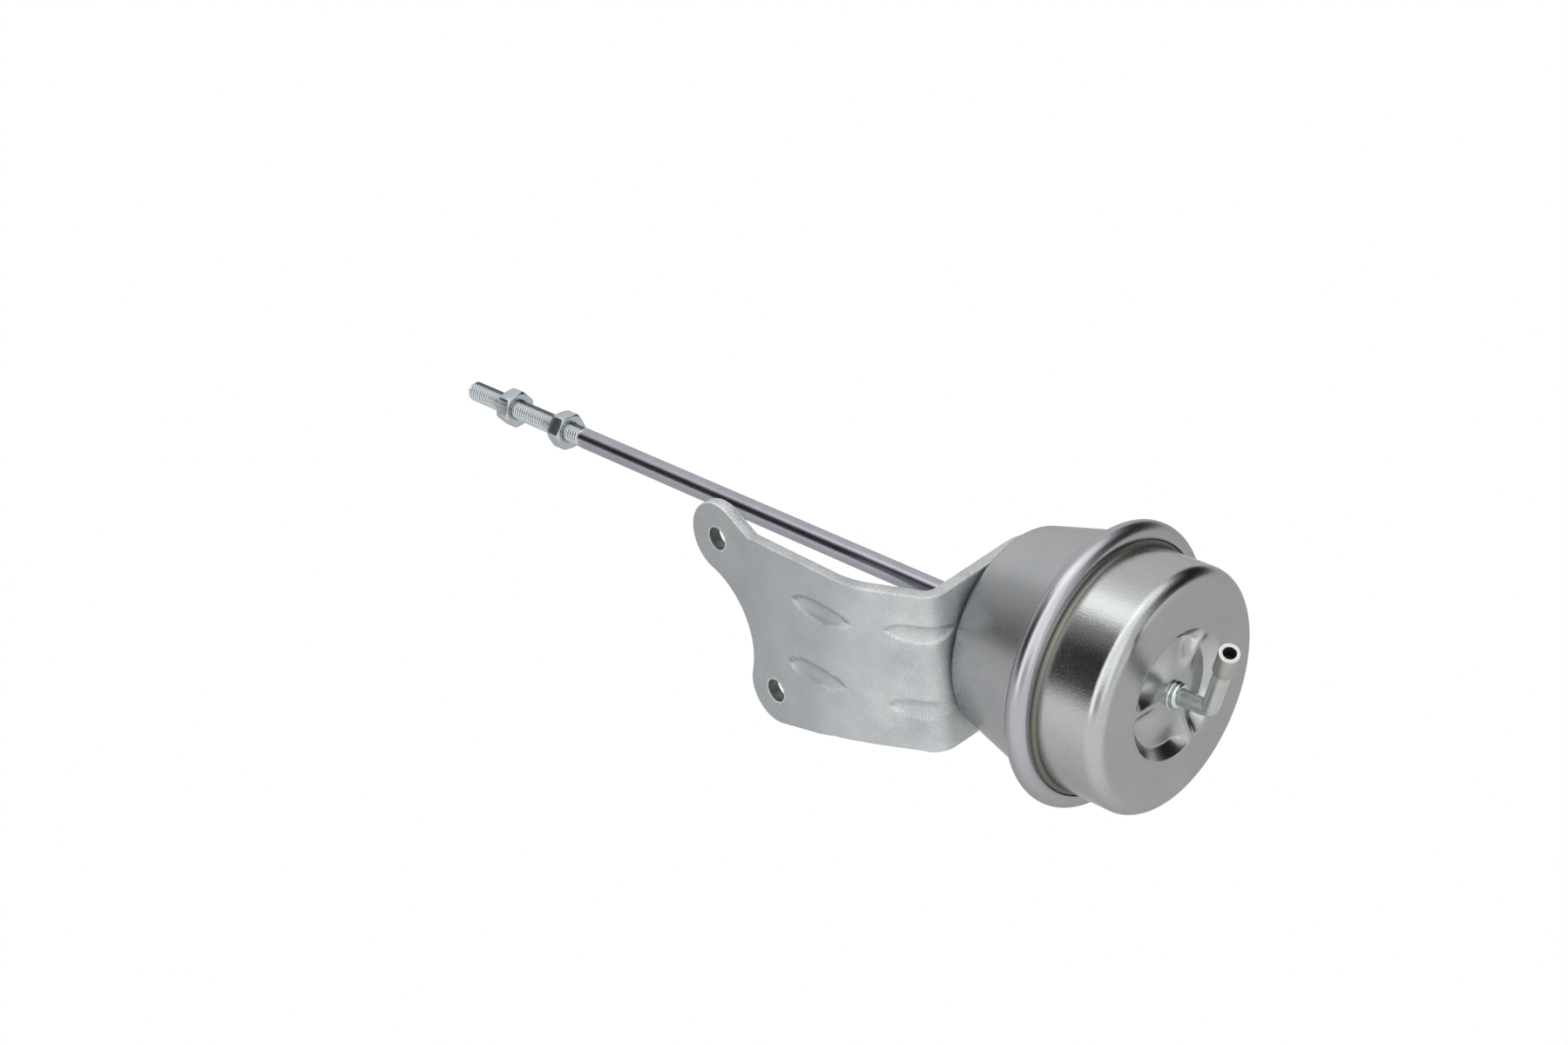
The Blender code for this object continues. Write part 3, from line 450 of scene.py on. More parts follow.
def tube_skin():
    """Out of the cap, round the bend and up the leg, bored right through and necked at the end."""
    turn = ROD_AXIS.angle(TUBE_LEG_DIR)
    first = TUBE_KNEE - ROD_AXIS * TUBE_BEND_R * math.tan(turn / 2.0)
    side = (TUBE_LEG_DIR - ROD_AXIS * TUBE_LEG_DIR.dot(ROD_AXIS)).normalized()
    route = [Vector((CAP_HEIGHT - HUB_DEPTH - CAP_WALL - TUBE_INSIDE, 0.0, 0.0))]
    for angle in spaced(0.0, turn, TUBE_BEND_STEPS):
        ahead = first + ROD_AXIS * TUBE_BEND_R * math.sin(angle)
        route.append(ahead + side * TUBE_BEND_R * (1.0 - math.cos(angle)))
    shoulder = TUBE_LEG - SLEEVE_LENGTH - GAP
    route.append(TUBE_KNEE + TUBE_LEG_DIR * shoulder)
    route.append(TUBE_KNEE + TUBE_LEG_DIR * (shoulder + SPIGOT_LENGTH + GAP))
    last = len(route) - 1
    rings = [(k, TUBE_R) for k in range(last)]
    rings += [(last - 1, SPIGOT_R), (last, SPIGOT_R)]
    rings += [(k, TUBE_BORE_R) for k in range(last, -1, -1)]
    return swept(route, rings)


def sleeve_skin():
    """The sleeve on the nipple's end, wide inside where it sits on the tube's spigot."""
    step = SPIGOT_LENGTH + GAP * 2.0
    wide = SPIGOT_R + GAP
    corners = [
        (TUBE_BORE_R, SLEEVE_LENGTH, SLEEVE_BORE_EDGE_R),
        (SLEEVE_R, SLEEVE_LENGTH, SLEEVE_RIM_EDGE_R),
        (SLEEVE_R, 0.0, SLEEVE_FOOT_EDGE_R),
        (wide, 0.0, 0.0),
        (wide, step, 0.0),
        (TUBE_BORE_R, step, 0.0),
    ]
    work = turned(rounded(corners, steps=5), SMALL_FACETS)
    turn = ROD_AXIS.rotation_difference(TUBE_LEG_DIR).to_matrix().to_4x4()
    foot = TUBE_KNEE + TUBE_LEG_DIR * (TUBE_LEG - SLEEVE_LENGTH)
    bmesh.ops.transform(work, matrix=Matrix.Translation(foot) @ turn, verts=work.verts)
    return work


def collar_skin():
    """The round collar that holds the tube in the cap, with a hollow flare at its foot."""
    bottom = CAP_HEIGHT - HUB_DEPTH + COLLAR_LIFT
    top = bottom + COLLAR_HEIGHT
    bore = TUBE_R + COLLAR_CLEARANCE
    profile = [(bore, top - COLLAR_BORE_EDGE), (bore + COLLAR_BORE_EDGE, top)]
    profile += arc((COLLAR_R - COLLAR_EDGE, top - COLLAR_EDGE), COLLAR_EDGE, 90.0, 0.0, steps=10)
    flare = COLLAR_FOOT_R - COLLAR_R
    for turn in spaced(0.0, 0.5 * math.pi, COLLAR_FOOT_STEPS):
        radius = COLLAR_FOOT_R - flare * math.cos(turn)
        profile.append((radius, bottom + COLLAR_FOOT_HEIGHT * (1.0 - math.sin(turn))))
    profile.append((bore, bottom))
    return turned(profile, SMALL_FACETS)


def direction(start, end):
    """The angle at which the end is seen from the start, on the flat blank."""
    return math.degrees(math.atan2(end.y - start.y, end.x - start.x))


def tangent_angle(point, centre, radius, side):
    """Where on a circle a straight edge that comes from a point touches it."""
    gap = Vector(point) - centre
    spread = math.degrees(math.acos(radius / gap.length))
    return math.degrees(math.atan2(gap.y, gap.x)) + side * spread


def blank_outline():
    """Outline of the flat blank, anticlockwise from the notch beside the upper ear."""
    half = STRAP_HALF_WIDTH
    from_upper = UPPER_EAR_R + WAIST_R
    from_lower = LOWER_EAR_R + WAIST_R
    along = LOWER_HOLE - UPPER_HOLE
    span = along.length
    share = (from_upper ** 2 - from_lower ** 2 + span ** 2) / (2.0 * span)
    unit = along / span
    off_line = math.sqrt(from_upper ** 2 - share ** 2)
    waist = UPPER_HOLE + unit * share + Vector((-unit.y, unit.x)) * off_line
    notch = (NOTCH, half)
    flare = (FLARE_START, -half)
    made = [notch, (0.0, half)]
    made += arc((0.0, 0.0), half, 90.0, 270.0, steps=60)[1:-1]
    made.append((0.0, -half))
    for k, x in enumerate(spaced(*RELIEF, RELIEF_STEPS)):
        made.append((x, -half + RELIEF_DEPTH * math.sin(math.pi * k / RELIEF_STEPS) ** 2))
    made.append(flare)
    begin = tangent_angle(flare, LOWER_HOLE, LOWER_EAR_R, 1.0)
    end = direction(LOWER_HOLE, waist)
    if end <= begin:
        end += 360.0
    made += arc(LOWER_HOLE, LOWER_EAR_R, begin, end, steps=40)
    begin = direction(waist, LOWER_HOLE) % 360.0
    end = direction(waist, UPPER_HOLE) % 360.0
    made += arc(waist, WAIST_R, begin, end, steps=24)[1:]
    begin = direction(UPPER_HOLE, waist)
    end = tangent_angle(notch, UPPER_HOLE, UPPER_EAR_R, -1.0) % 360.0
    made += arc(UPPER_HOLE, UPPER_EAR_R, begin, end, steps=44)[1:]
    return made


def flat_blank():
    """The blank as a plate with its three holes and with rounded edges."""
    data = bpy.data.curves.new("blank", "CURVE")
    data.dimensions = "2D"
    data.fill_mode = "BOTH"
    data.bevel_depth = EDGE_ROUNDING
    data.bevel_resolution = 3
    data.extrude = PLATE / 2.0 - EDGE_ROUNDING
    data.offset = -EDGE_ROUNDING
    loops = [blank_outline()]
    holes = ((UPPER_HOLE, PLATED_HOLE_R), (LOWER_HOLE, PLATED_HOLE_R), ((0.0, 0.0), CAN_HOLE_R))
    for centre, radius in holes:
        loops.append(arc(centre, radius, 0.0, 360.0, steps=64)[:-1])
    for loop in loops:
        spline = data.splines.new("POLY")
        spline.use_cyclic_u = True
        spline.points.add(len(loop) - 1)
        for point, place in zip(spline.points, loop):
            point.co = (place[0], place[1], 0.0, 1.0)
    holder = bpy.data.objects.new("blank", data)
    bpy.context.scene.collection.objects.link(holder)
    bpy.context.view_layer.update()
    graph = bpy.context.evaluated_depsgraph_get()
    mesh = bpy.data.meshes.new_from_object(holder.evaluated_get(graph))
    bpy.data.objects.remove(holder, do_unlink=True)
    work = bmesh.new()
    work.from_mesh(mesh)
    bmesh.ops.remove_doubles(work, verts=work.verts, dist=WELD)
    bmesh.ops.dissolve_limit(work, angle_limit=FLAT_ANGLE, verts=work.verts, edges=work.edges)
    return work


def crisp_bores(work):
    """Bring the rounding of the bolt holes' rims down to that of a punched hole."""
    for vertex in work.verts:
        for centre in (UPPER_HOLE, LOWER_HOLE):
            out = Vector((vertex.co.x, vertex.co.y)) - centre
            if out.length > PLATED_HOLE_R + EDGE_ROUNDING * BORE_ZONE:
                continue
            away = PLATED_HOLE_R + (out.length - PLATED_HOLE_R) * BORE_CRISPNESS
            near = centre + out.normalized() * away
            depth = (PLATE / 2.0 - abs(vertex.co.z)) * BORE_CRISPNESS
            vertex.co = (near.x, near.y, math.copysign(PLATE / 2.0 - depth, vertex.co.z))


def cut_grid(work):
    """Slice the plate both ways, so that it presses and folds smoothly, and twice as finely at the ribs."""
    half_step = GRID_STEP / 2.0
    spans = list(GRID_SPANS)
    spans += [(axis, low + half_step, high) for axis, low, high in RIB_SPANS]
    for axis, low, high in spans:
        normal = [0.0, 0.0, 0.0]
        normal[axis] = 1.0
        first = GRID_SPANS[axis][1]
        low = first + round((low - first) / half_step) * half_step
        for k in range(int((high - low) / GRID_STEP) + 1):
            place = [0.0, 0.0, 0.0]
            place[axis] = low + GRID_STEP * k
            geometry = work.verts[:] + work.edges[:] + work.faces[:]
            bmesh.ops.bisect_plane(work, geom=geometry, plane_co=place, plane_no=normal, dist=WELD / 4.0)


def mark_light_and_wear(work):
    """Write the plating's painted highlights, painted shade and torn dullness into a point layer, which the
    bracket's finish reads.
    """
    painted_light_and_wear = work.verts.layers.float.new("painted_light_and_wear")
    face = PLATE / 2.0
    for vertex in work.verts:
        height = abs(vertex.co.z)
        side = 1.0 - smooth_step(height, face - EDGE_ROUNDING, face - EDGE_ROUNDING * SIDE_END)
        edge = 1.0 - smooth_step(height, face - EDGE_ROUNDING * LIGHT_END, face)
        # a painted highlight on the rounded edges, less the sheared side's dullness
        light_and_wear = EDGE_HIGHLIGHT * edge - SIDE_DULL * side
        if vertex.co.x > NOTCH and vertex.co.y > 0.0:
            light_and_wear *= EAR_LIGHT_AND_WEAR
        # painted light on the outer face, towards the near bend
        if vertex.co.z < 0.0:
            light_and_wear += NEAR_BEND_LIGHT * (1.0 - smooth_step(vertex.co.x, *NEAR_BEND_LIGHT_SPAN))
        # painted shade towards the bolt holes
        light_and_wear -= FAR_END_SHADE * smooth_step(vertex.co.x, *FAR_END_SHADE_SPAN)
        flat = Vector((vertex.co.x, vertex.co.y))
        # painted shade in the bolt holes, with a painted highlight round their rims
        if min((flat - UPPER_HOLE).length, (flat - LOWER_HOLE).length) < BOLT_HOLE_R:
            light_and_wear = BORE_SHADE if height < face - BORE_RIM_WIDTH else BORE_RIM_HIGHLIGHT
        vertex[painted_light_and_wear] = light_and_wear
    return painted_light_and_wear


def press_ribs(work, painted_light_and_wear):
    """Push the four ribs through the plate: hollow on the outer face, raised on the inner one."""
    ribs = [(place, NEAR_RIB) for place in NEAR_RIB_PLACES]
    ribs += [(place, FAR_RIB) for place in FAR_RIB_PLACES]
    for vertex in work.verts:
        for place, size in ribs:
            along = (vertex.co.x - place[0]) / size[0]
            across = (vertex.co.y - place[1]) / size[1]
            away = math.hypot(along, across)
            if away < RIB_REACH:
                vertex.co.z += RIB_DEPTH * soft_ramp(1.0 - away ** 2, 1.0, RIB_SOFTNESS)
                crease = smooth_step(away, *CREASE_START) * (1.0 - smooth_step(away, *CREASE_END))
                # painted highlight on the crease's lower side, painted shade on its upper side
                vertex[painted_light_and_wear] += crease * (CREASE_HIGHLIGHT if across < 0.0 else CREASE_SHADE)


def fold(work, start, skew, outer_radius, degrees):
    """Fold everything beyond a line of the blank round a cylinder."""
    turn = math.radians(degrees)
    along = Vector((-math.sin(math.radians(skew)), math.cos(math.radians(skew))))
    across = Vector((along.y, -along.x))
    radius = outer_radius - PLATE / 2.0
    origin = Vector((start, 0.0))
    for vertex in work.verts:
        flat = Vector((vertex.co.x, vertex.co.y)) - origin
        beyond = flat.dot(across)
        if beyond <= 0.0:
            continue
        angle = min(beyond / radius, turn)
        rest = max(beyond - radius * turn, 0.0)
        own = radius - vertex.co.z
        reach = own * math.sin(angle) + rest * math.cos(angle)
        rise = radius - own * math.cos(angle) + rest * math.sin(angle)
        place = origin + across * reach + along * flat.dot(along)
        vertex.co = (place.x, place.y, rise)


def bracket_skin():
    """The bracket as it is made: cut flat, punched, ribbed, folded twice and set against the can."""
    work = flat_blank()
    crisp_bores(work)
    cut_grid(work)
    press_ribs(work, mark_light_and_wear(work))
    fold(work, BEND_2_START, BEND_2_SKEW, BEND_2_OUTER_R, BEND_2_ANGLE)
    fold(work, BEND_1_START, 0.0, BEND_1_OUTER_R, BEND_1_ANGLE)
    stand = Matrix((
        (0.0, 0.0, -1.0, -CAN_DEPTH - GAP - PLATE / 2.0),
        (-1.0, 0.0, 0.0, 0.0),
        (0.0, 1.0, 0.0, 0.0),
        (0.0, 0.0, 0.0, 1.0),
    ))
    bmesh.ops.transform(work, matrix=stand, verts=work.verts)
    bmesh.ops.recalc_face_normals(work, faces=work.faces)
    return work


def thread_radius(phase):
    """Radius of the thread at a share of its pitch: crest, flank, rounded root, flank."""
    away = abs((phase % 1.0) - 0.5) * 2.0
    return THREAD_ROOT_R + (THREAD_CREST_R - THREAD_ROOT_R) * smooth_step(away, *THREAD_FLANK)


def rod_skin(shoulder_x):
    """The rod with a real helical thread, run out into the shank, and its riveted inner end."""
    work = bmesh.new()
    rings = []
    count = int(THREAD_LENGTH / THREAD_PITCH) * THREAD_STEPS
    for k in range(count + 1):
        x = ROD_TIP_X + THREAD_LENGTH * k / count
        ring = []
        for j in range(ROD_FACETS):
            turn = j / ROD_FACETS
            chamfer = ROD_TIP_R + (x - ROD_TIP_X) * ROD_TIP_CHAMFER
            radius = min(thread_radius((x - ROD_TIP_X) / THREAD_PITCH - turn), chamfer)
            fade = smooth_step(x, THREAD_END_X - THREAD_PITCH * THREAD_RUN_OUT, THREAD_END_X)
            radius += (THREAD_CREST_R - radius) * fade
            angle = 2.0 * math.pi * turn
            ring.append(work.verts.new((x, radius * math.cos(angle), radius * math.sin(angle))))
        rings.append(ring)
    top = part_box("actuator_rod")[1].x - CRIMP.x
    start = THREAD_END_X + SHANK_START
    length = shoulder_x - THREAD_END_X
    profile = [(ROD_R, start + length * k / SHANK_RINGS) for k in range(SHANK_RINGS)]
    profile += [
        (ROD_R, shoulder_x - SHOULDER_CONE),
        (SHOULDER_R, shoulder_x - SHOULDER_HEIGHT),
        (SHOULDER_R, shoulder_x),
        (STUD_R, shoulder_x),
        (STUD_R, top - RIVET_HEIGHT),
        (RIVET_R, top - RIVET_HEIGHT),
        (RIVET_R, top - RIVET_EDGE),
        (RIVET_TOP_R, top),
    ]
    rings += [circle(work, x, radius, ROD_FACETS) for radius, x in profile]
    bridge(work, rings)
    work.faces.new(rings[0])
    work.faces.new(rings[-1])
    bmesh.ops.recalc_face_normals(work, faces=work.faces)
    return work


def nut_skin(place, turn):
    """A hexagon nut with chamfered corners and a countersunk bore."""
    half = NUT_HEIGHT / 2.0
    apothem = NUT_FLATS / 2.0
    face_r = apothem - NUT_FACE_INSET
    bore = THREAD_CREST_R - NUT_BORE_INSET
    corner_r = apothem / math.cos(NUT_CORNER) - NUT_CORNER_CUT
    work = bmesh.new()
    rings = [[] for _ in range(8)]
    for angle in full_turn(SMALL_FACETS):
        off_flat = (angle + NUT_CORNER) % (2.0 * NUT_CORNER) - NUT_CORNER
        radius = min(apothem / math.cos(NUT_CORNER - abs(off_flat)), corner_r)
        edge = half - max(radius - face_r, 0.0) * math.tan(NUT_CHAMFER)
        points = [(half - NUT_SINK, bore), (half, bore + NUT_SINK), (half, face_r), (edge, radius)]
        points += [(-x, r) for x, r in reversed(points)]
        spin = angle + math.radians(turn)
        for ring, (x, r) in zip(rings, points):
            ring.append(work.verts.new((place + x, r * math.cos(spin), r * math.sin(spin))))
    bridge(work, rings + rings[:1])
    bmesh.ops.recalc_face_normals(work, faces=work.faces)
    sharp = [e for e in work.edges if e.calc_face_angle(0.0) > NUT_BEVELLED]
    bmesh.ops.bevel(
        work, geom=sharp, offset=NUT_EDGE, segments=2, profile=0.5, affect="EDGES", clamp_overlap=True
    )
    return work


def node_ring(node, edge):
    """A plain ring where a turned node is, with its corners rounded."""
    low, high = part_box(node)
    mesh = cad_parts[node].data
    bore = min(math.hypot(v.co.y - CRIMP.y, v.co.z - CRIMP.z) for v in mesh.vertices)
    radius = (high.y - low.y) / 2.0
    bottom = low.x - CRIMP.x
    top = high.x - CRIMP.x
    corners = [(bore, top, edge), (radius, top, edge), (radius, bottom, edge), (bore, bottom, edge)]
    return turned(rounded(corners, steps=4), SMALL_FACETS)


def node_copy(node):
    """A node's own mesh, joined where its file splits it."""
    work = bmesh.new()
    work.from_mesh(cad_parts[node].data)
    bmesh.ops.remove_doubles(work, verts=work.verts, dist=WELD)
    return work


def feed(tree, socket, value):
    """Link another node's result to a socket, or put a number, colour or vector into it."""
    if isinstance(value, bpy.types.NodeSocket):
        tree.links.new(value, socket)
    else:
        socket.default_value = value


def add_node(tree, kind, inputs, **settings):
    """A node with its settings made first, and then its inputs fed by name."""
    node = tree.nodes.new(kind)
    for name, value in settings.items():
        setattr(node, name, value)
    for name, value in inputs.items():
        feed(tree, node.inputs[name], value)
    return node


def maths(tree, operation, *values, clamp=False):
    """The result of one maths node."""
    node = tree.nodes.new("ShaderNodeMath")
    node.operation = operation
    node.use_clamp = clamp
    for socket, value in zip(node.inputs, values):
        feed(tree, socket, value)
    return node.outputs[0]


def blended(tree, share, first, second, kind="FLOAT"):
    """A value or a colour that goes from the first to the second as the share goes from 0 to 1."""
    inputs = {"Factor": share, "A": first, "B": second}
    return add_node(tree, "ShaderNodeMix", inputs, data_type=kind).outputs["Result"]


def tinted(tree, colour, mask, tint):
    """Lay a tint over a colour where a mask says so."""
    return blended(tree, mask, colour, (*tint, 1.0), "RGBA")


def bumped(tree, height, strength, distance, under=None):
    """The normal of a surface with one more fine relief on it."""
    inputs = {"Height": height, "Strength": strength, "Distance": distance}
    if under is not None:
        inputs["Normal"] = under
    return add_node(tree, "ShaderNodeBump", inputs).outputs["Normal"]


def split_place(tree, kind="Object"):
    """The three parts of the place that is shaded."""
    place = tree.nodes.new("ShaderNodeTexCoord").outputs[kind]
    return add_node(tree, "ShaderNodeSeparateXYZ", {"Vector": place}).outputs


def value_group(name, inputs, outputs):
    """A node group of plain values, with its input node and its output node."""
    group = bpy.data.node_groups.new(name, "ShaderNodeTree")
    for label, value in inputs.items():
        socket = group.interface.new_socket(name=label, in_out="INPUT", socket_type="NodeSocketFloat")
        socket.default_value = value
    for label in outputs:
        group.interface.new_socket(name=label, in_out="OUTPUT", socket_type="NodeSocketFloat")
    return group, group.nodes.new("NodeGroupInput"), group.nodes.new("NodeGroupOutput")


def grain_group():
    """Fine grain of a plated or blasted surface, with slow cloudiness, as values for one finish."""
    sizes = {"Grain Size": 0.0004, "Cloud Size": 0.012, "Roughness": 0.3, "Spread": 0.05}
    group, start, end = value_group("plating_grain", sizes, ("Grain", "Cloud", "Roughness"))
    place = group.nodes.new("ShaderNodeTexCoord").outputs["Object"]
    made = []
    for name, detail in (("Grain", 3.0), ("Cloud", 4.0)):
        scale = maths(group, "DIVIDE", 1.0, start.outputs[name + " Size"])
        inputs = {"Vector": place, "Scale": scale, "Detail": detail, "Roughness": 0.6}
        made.append(add_node(group, "ShaderNodeTexNoise", inputs).outputs["Fac"])
        group.links.new(made[-1], end.inputs[name])
    centred = maths(group, "SUBTRACT", maths(group, "ADD", *made), 1.0)
    gloss = maths(group, "MULTIPLY_ADD", centred, start.outputs["Spread"], start.outputs["Roughness"])
    group.links.new(gloss, end.inputs["Roughness"])
    return group


LINE_DRIFT_ROUND = 0.0006       # how slowly the lines change along themselves
LINE_DRIFT_ALONG = 0.03


def lines_group():
    """Fine lines left by spinning or drawing: round the rod's axis, and along it."""
    group, start, end = value_group("working_lines", {"Spacing": 0.0003}, ("Round", "Along"))
    x, y, z = split_place(group)
    radius = maths(group, "SQRT", maths(group, "MULTIPLY_ADD", z, z, maths(group, "MULTIPLY", y, y)))
    slow_turn = maths(group, "MULTIPLY", maths(group, "ARCTAN2", z, y), LINE_DRIFT_ROUND)
    slow_x = maths(group, "MULTIPLY", x, LINE_DRIFT_ALONG)
    scale = maths(group, "DIVIDE", 1.0, start.outputs["Spacing"])
    for name, axes in (("Round", (x, radius, slow_turn)), ("Along", (slow_x, y, z))):
        joined = add_node(group, "ShaderNodeCombineXYZ", dict(zip("XYZ", axes))).outputs["Vector"]
        inputs = {"Vector": joined, "Scale": scale, "Detail": 2.0}
        noise = add_node(group, "ShaderNodeTexNoise", inputs).outputs["Fac"]
        group.links.new(noise, end.inputs[name])
    return group


GRAIN = grain_group()
LINES = lines_group()
CLOUD_RANGE = {"From Min": 0.35, "From Max": 0.65}     # the span of the noise that the two tints share
METAL_EDGE = 0.75               # how much a metal reflects at a glancing angle
GRAIN_DEPTH = 0.2               # height of a relief, in grain sizes or line spacings
TORN_DEPTH = 0.6                # and where the edge is torn
TORN_STRENGTH = 0.7
# dark tint of painted shade, in and round the bolt holes and on the ribs' upper creases, and of the sheared
# side's dullness
SHADE_AND_TORN_TINT = (0.12, 0.125, 0.12)
# light tint of painted highlights on the bracket's edges, creases and hole rims, and of painted light at the
# near bend
PAINTED_HIGHLIGHT_TINT = (0.85, 0.85, 0.83)


def plated(
    name, dark, light, roughness, spread, grain, cloud, bump, metallic=1.0, lines=None, band=None, painted_light_and_wear=None
):
    """A metal finish: two tints mixed by slow clouds and grain, uneven gloss and a fine tooth.

    lines is (kind, spacing, depth), band is (start, end, tint, roughness) along the rod's
    axis, and the last is the tint of the painted highlights that the mesh marks; where it marks painted shade
    or a torn side, a dark tint goes on instead.
    """
    made = bpy.data.materials.new(name)
    made.use_nodes = True
    tree = made.node_tree
    shader = tree.nodes["Principled BSDF"]
    shader.inputs["Metallic"].default_value = metallic
    glancing = METAL_EDGE if metallic > 0.5 else 1.0
    shader.inputs["Specular Tint"].default_value = (glancing, glancing, glancing, 1.0)
    sizes = {"Grain Size": grain, "Cloud Size": cloud, "Roughness": roughness, "Spread": spread}
    tooth = add_node(tree, "ShaderNodeGroup", sizes, node_tree=GRAIN)
    half_cloud = maths(tree, "MULTIPLY", tooth.outputs["Cloud"], 0.5)
    both = maths(tree, "MULTIPLY_ADD", tooth.outputs["Grain"], 0.5, half_cloud)
    share = add_node(tree, "ShaderNodeMapRange", {"Value": both, **CLOUD_RANGE}).outputs["Result"]
    colour = blended(tree, share, (*dark, 1.0), (*light, 1.0), "RGBA")
    gloss = tooth.outputs["Roughness"]
    if band:
        start, end, tint, band_roughness = band
        inputs = {"Value": split_place(tree)["X"], "From Min": start, "From Max": end}
        ramp = add_node(tree, "ShaderNodeMapRange", inputs, interpolation_type="SMOOTHSTEP")
        fade = ramp.outputs["Result"]
        colour = tinted(tree, colour, fade, tint)
        gloss = blended(tree, fade, gloss, band_roughness)
    normal = bumped(tree, tooth.outputs["Grain"], bump, grain * GRAIN_DEPTH)
    if painted_light_and_wear:
        light_and_wear = add_node(tree, "ShaderNodeAttribute", {}, attribute_name="painted_light_and_wear").outputs["Fac"]
        # painted highlights where the layer is above 0; painted shade and the torn side's dullness where it
        # is below
        painted_highlight = maths(tree, "MULTIPLY", light_and_wear, share, clamp=True)
        colour = tinted(tree, colour, painted_highlight, painted_light_and_wear)
        colour = tinted(tree, colour, maths(tree, "MULTIPLY", light_and_wear, -1.0, clamp=True), SHADE_AND_TORN_TINT)
        normal = bumped(tree, painted_highlight, TORN_STRENGTH, grain * TORN_DEPTH, normal)
    if lines:
        kind, spacing, depth = lines
        worked = add_node(tree, "ShaderNodeGroup", {"Spacing": spacing}, node_tree=LINES)
        normal = bumped(tree, worked.outputs[kind], depth, spacing * GRAIN_DEPTH, normal)
    tree.links.new(colour, shader.inputs["Base Color"])
    tree.links.new(gloss, shader.inputs["Roughness"])
    tree.links.new(normal, shader.inputs["Normal"])
    made.diffuse_color = (*light, 1.0)
    return made


# Lines as (kind, spacing, depth) and bands as (start, end, tint, roughness)
SPUN = ("Round", 0.00035, 0.10)
DRAWN = ("Along", 0.00030, 0.12)
MILLED = ("Along", 0.00045, 0.5)
# the seam's dark olive band: the plating's olive tinge at the crimp's root, darkened as painted shade in the
# crevice
SEAM_TINT_AND_SHADE = (0.0056, 0.0026, (0.16, 0.165, 0.135), 0.52)
ROLL_BAND = (-0.0045, -0.0025, (0.37, 0.375, 0.39), 0.26)
THREAD_BAND = (THREAD_END_X + THREAD_PITCH, THREAD_END_X - THREAD_PITCH, (0.50, 0.53, 0.55), 0.16)
bracket_steel = plated(
    "bracket_steel", dark=(0.38, 0.40, 0.415), light=(0.49, 0.51, 0.52), roughness=0.52, spread=0.12,
    grain=0.0004, cloud=0.010, bump=0.75, metallic=0.95, painted_light_and_wear=PAINTED_HIGHLIGHT_TINT,
)
can_zinc = plated(
    "can_zinc", dark=(0.35, 0.36, 0.375), light=(0.415, 0.425, 0.435), roughness=0.28, spread=0.09,
    grain=0.0004, cloud=0.012, bump=0.20, lines=SPUN, band=ROLL_BAND,
)
cap_zinc = plated(
    "cap_zinc", dark=(0.36, 0.37, 0.37), light=(0.42, 0.43, 0.43), roughness=0.19, spread=0.07,
    grain=0.00045, cloud=0.014, bump=0.34, lines=SPUN, band=SEAM_TINT_AND_SHADE,
)
rod_zinc = plated(
    "rod_zinc", dark=(0.335, 0.335, 0.385), light=(0.405, 0.405, 0.46), roughness=0.22, spread=0.06,
    grain=0.0003, cloud=0.008, bump=0.08, lines=DRAWN, band=THREAD_BAND,
)
nut_zinc = plated(
    "nut_zinc", dark=(0.42, 0.46, 0.49), light=(0.50, 0.54, 0.57), roughness=0.27, spread=0.08,
    grain=0.0003, cloud=0.004, bump=0.10, lines=MILLED,
)
nipple_steel = plated(
    "nipple_steel", dark=(0.44, 0.46, 0.43), light=(0.52, 0.54, 0.51), roughness=0.16, spread=0.05,
    grain=0.0003, cloud=0.004, bump=0.03, metallic=0.72,
)
collar_braze = plated(
    "collar_braze", dark=(0.42, 0.48, 0.48), light=(0.60, 0.66, 0.64), roughness=0.12, spread=0.10,
    grain=0.0012, cloud=0.003, bump=0.45,
)
sleeve_steel = plated(
    "sleeve_steel", dark=(0.39, 0.385, 0.37), light=(0.46, 0.455, 0.435), roughness=0.34, spread=0.06,
    grain=0.0003, cloud=0.004, bump=0.12,
)
black_rubber = plated(
    "black_rubber", dark=(0.012, 0.012, 0.012), light=(0.03, 0.03, 0.03), roughness=0.72, spread=0.10,
    grain=0.0004, cloud=0.006, bump=0.30, metallic=0.0,
)
sintered_bronze = plated(
    "sintered_bronze", dark=(0.36, 0.24, 0.11), light=(0.52, 0.36, 0.19), roughness=0.45, spread=0.12,
    grain=0.0003, cloud=0.003, bump=0.30,
)
spring_steel = plated(
    "spring_steel", dark=(0.16, 0.16, 0.17), light=(0.28, 0.28, 0.29), roughness=0.36, spread=0.10,
    grain=0.0004, cloud=0.006, bump=0.12,
)

add_piece("lower_can_skin", lower_can_skin(), can_zinc, "casing", "lower_can")
add_piece("upper_can_skin", cap_skin(), cap_zinc, "casing", "upper_can")
bracket = bracket_skin()
add_piece("mounting_bracket_skin", bracket, bracket_steel, "casing", "mounting_bracket")
add_piece("nipple_collar_skin", collar_skin(), collar_braze, "casing", "nipple_collar")
add_piece("nipple_tube_skin", tube_skin(), nipple_steel, "casing", "nipple_tube")
add_piece("nipple_sleeve_skin", sleeve_skin(), sleeve_steel, "casing", "nipple_sleeve")
retainer = node_ring("bush_retainer", edge=0.0002)
add_piece("bush_retainer_ring", retainer, spring_steel, "casing", "bush_retainer")
seal = node_ring("rod_seal", edge=0.0004)
add_piece("rod_seal_ring", seal, black_rubber, "casing", "rod_seal")
rod = rod_skin(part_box("shoulder_washer")[0].x - CRIMP.x - GAP)
add_piece("actuator_rod_skin", rod, rod_zinc, "rod", "actuator_rod")
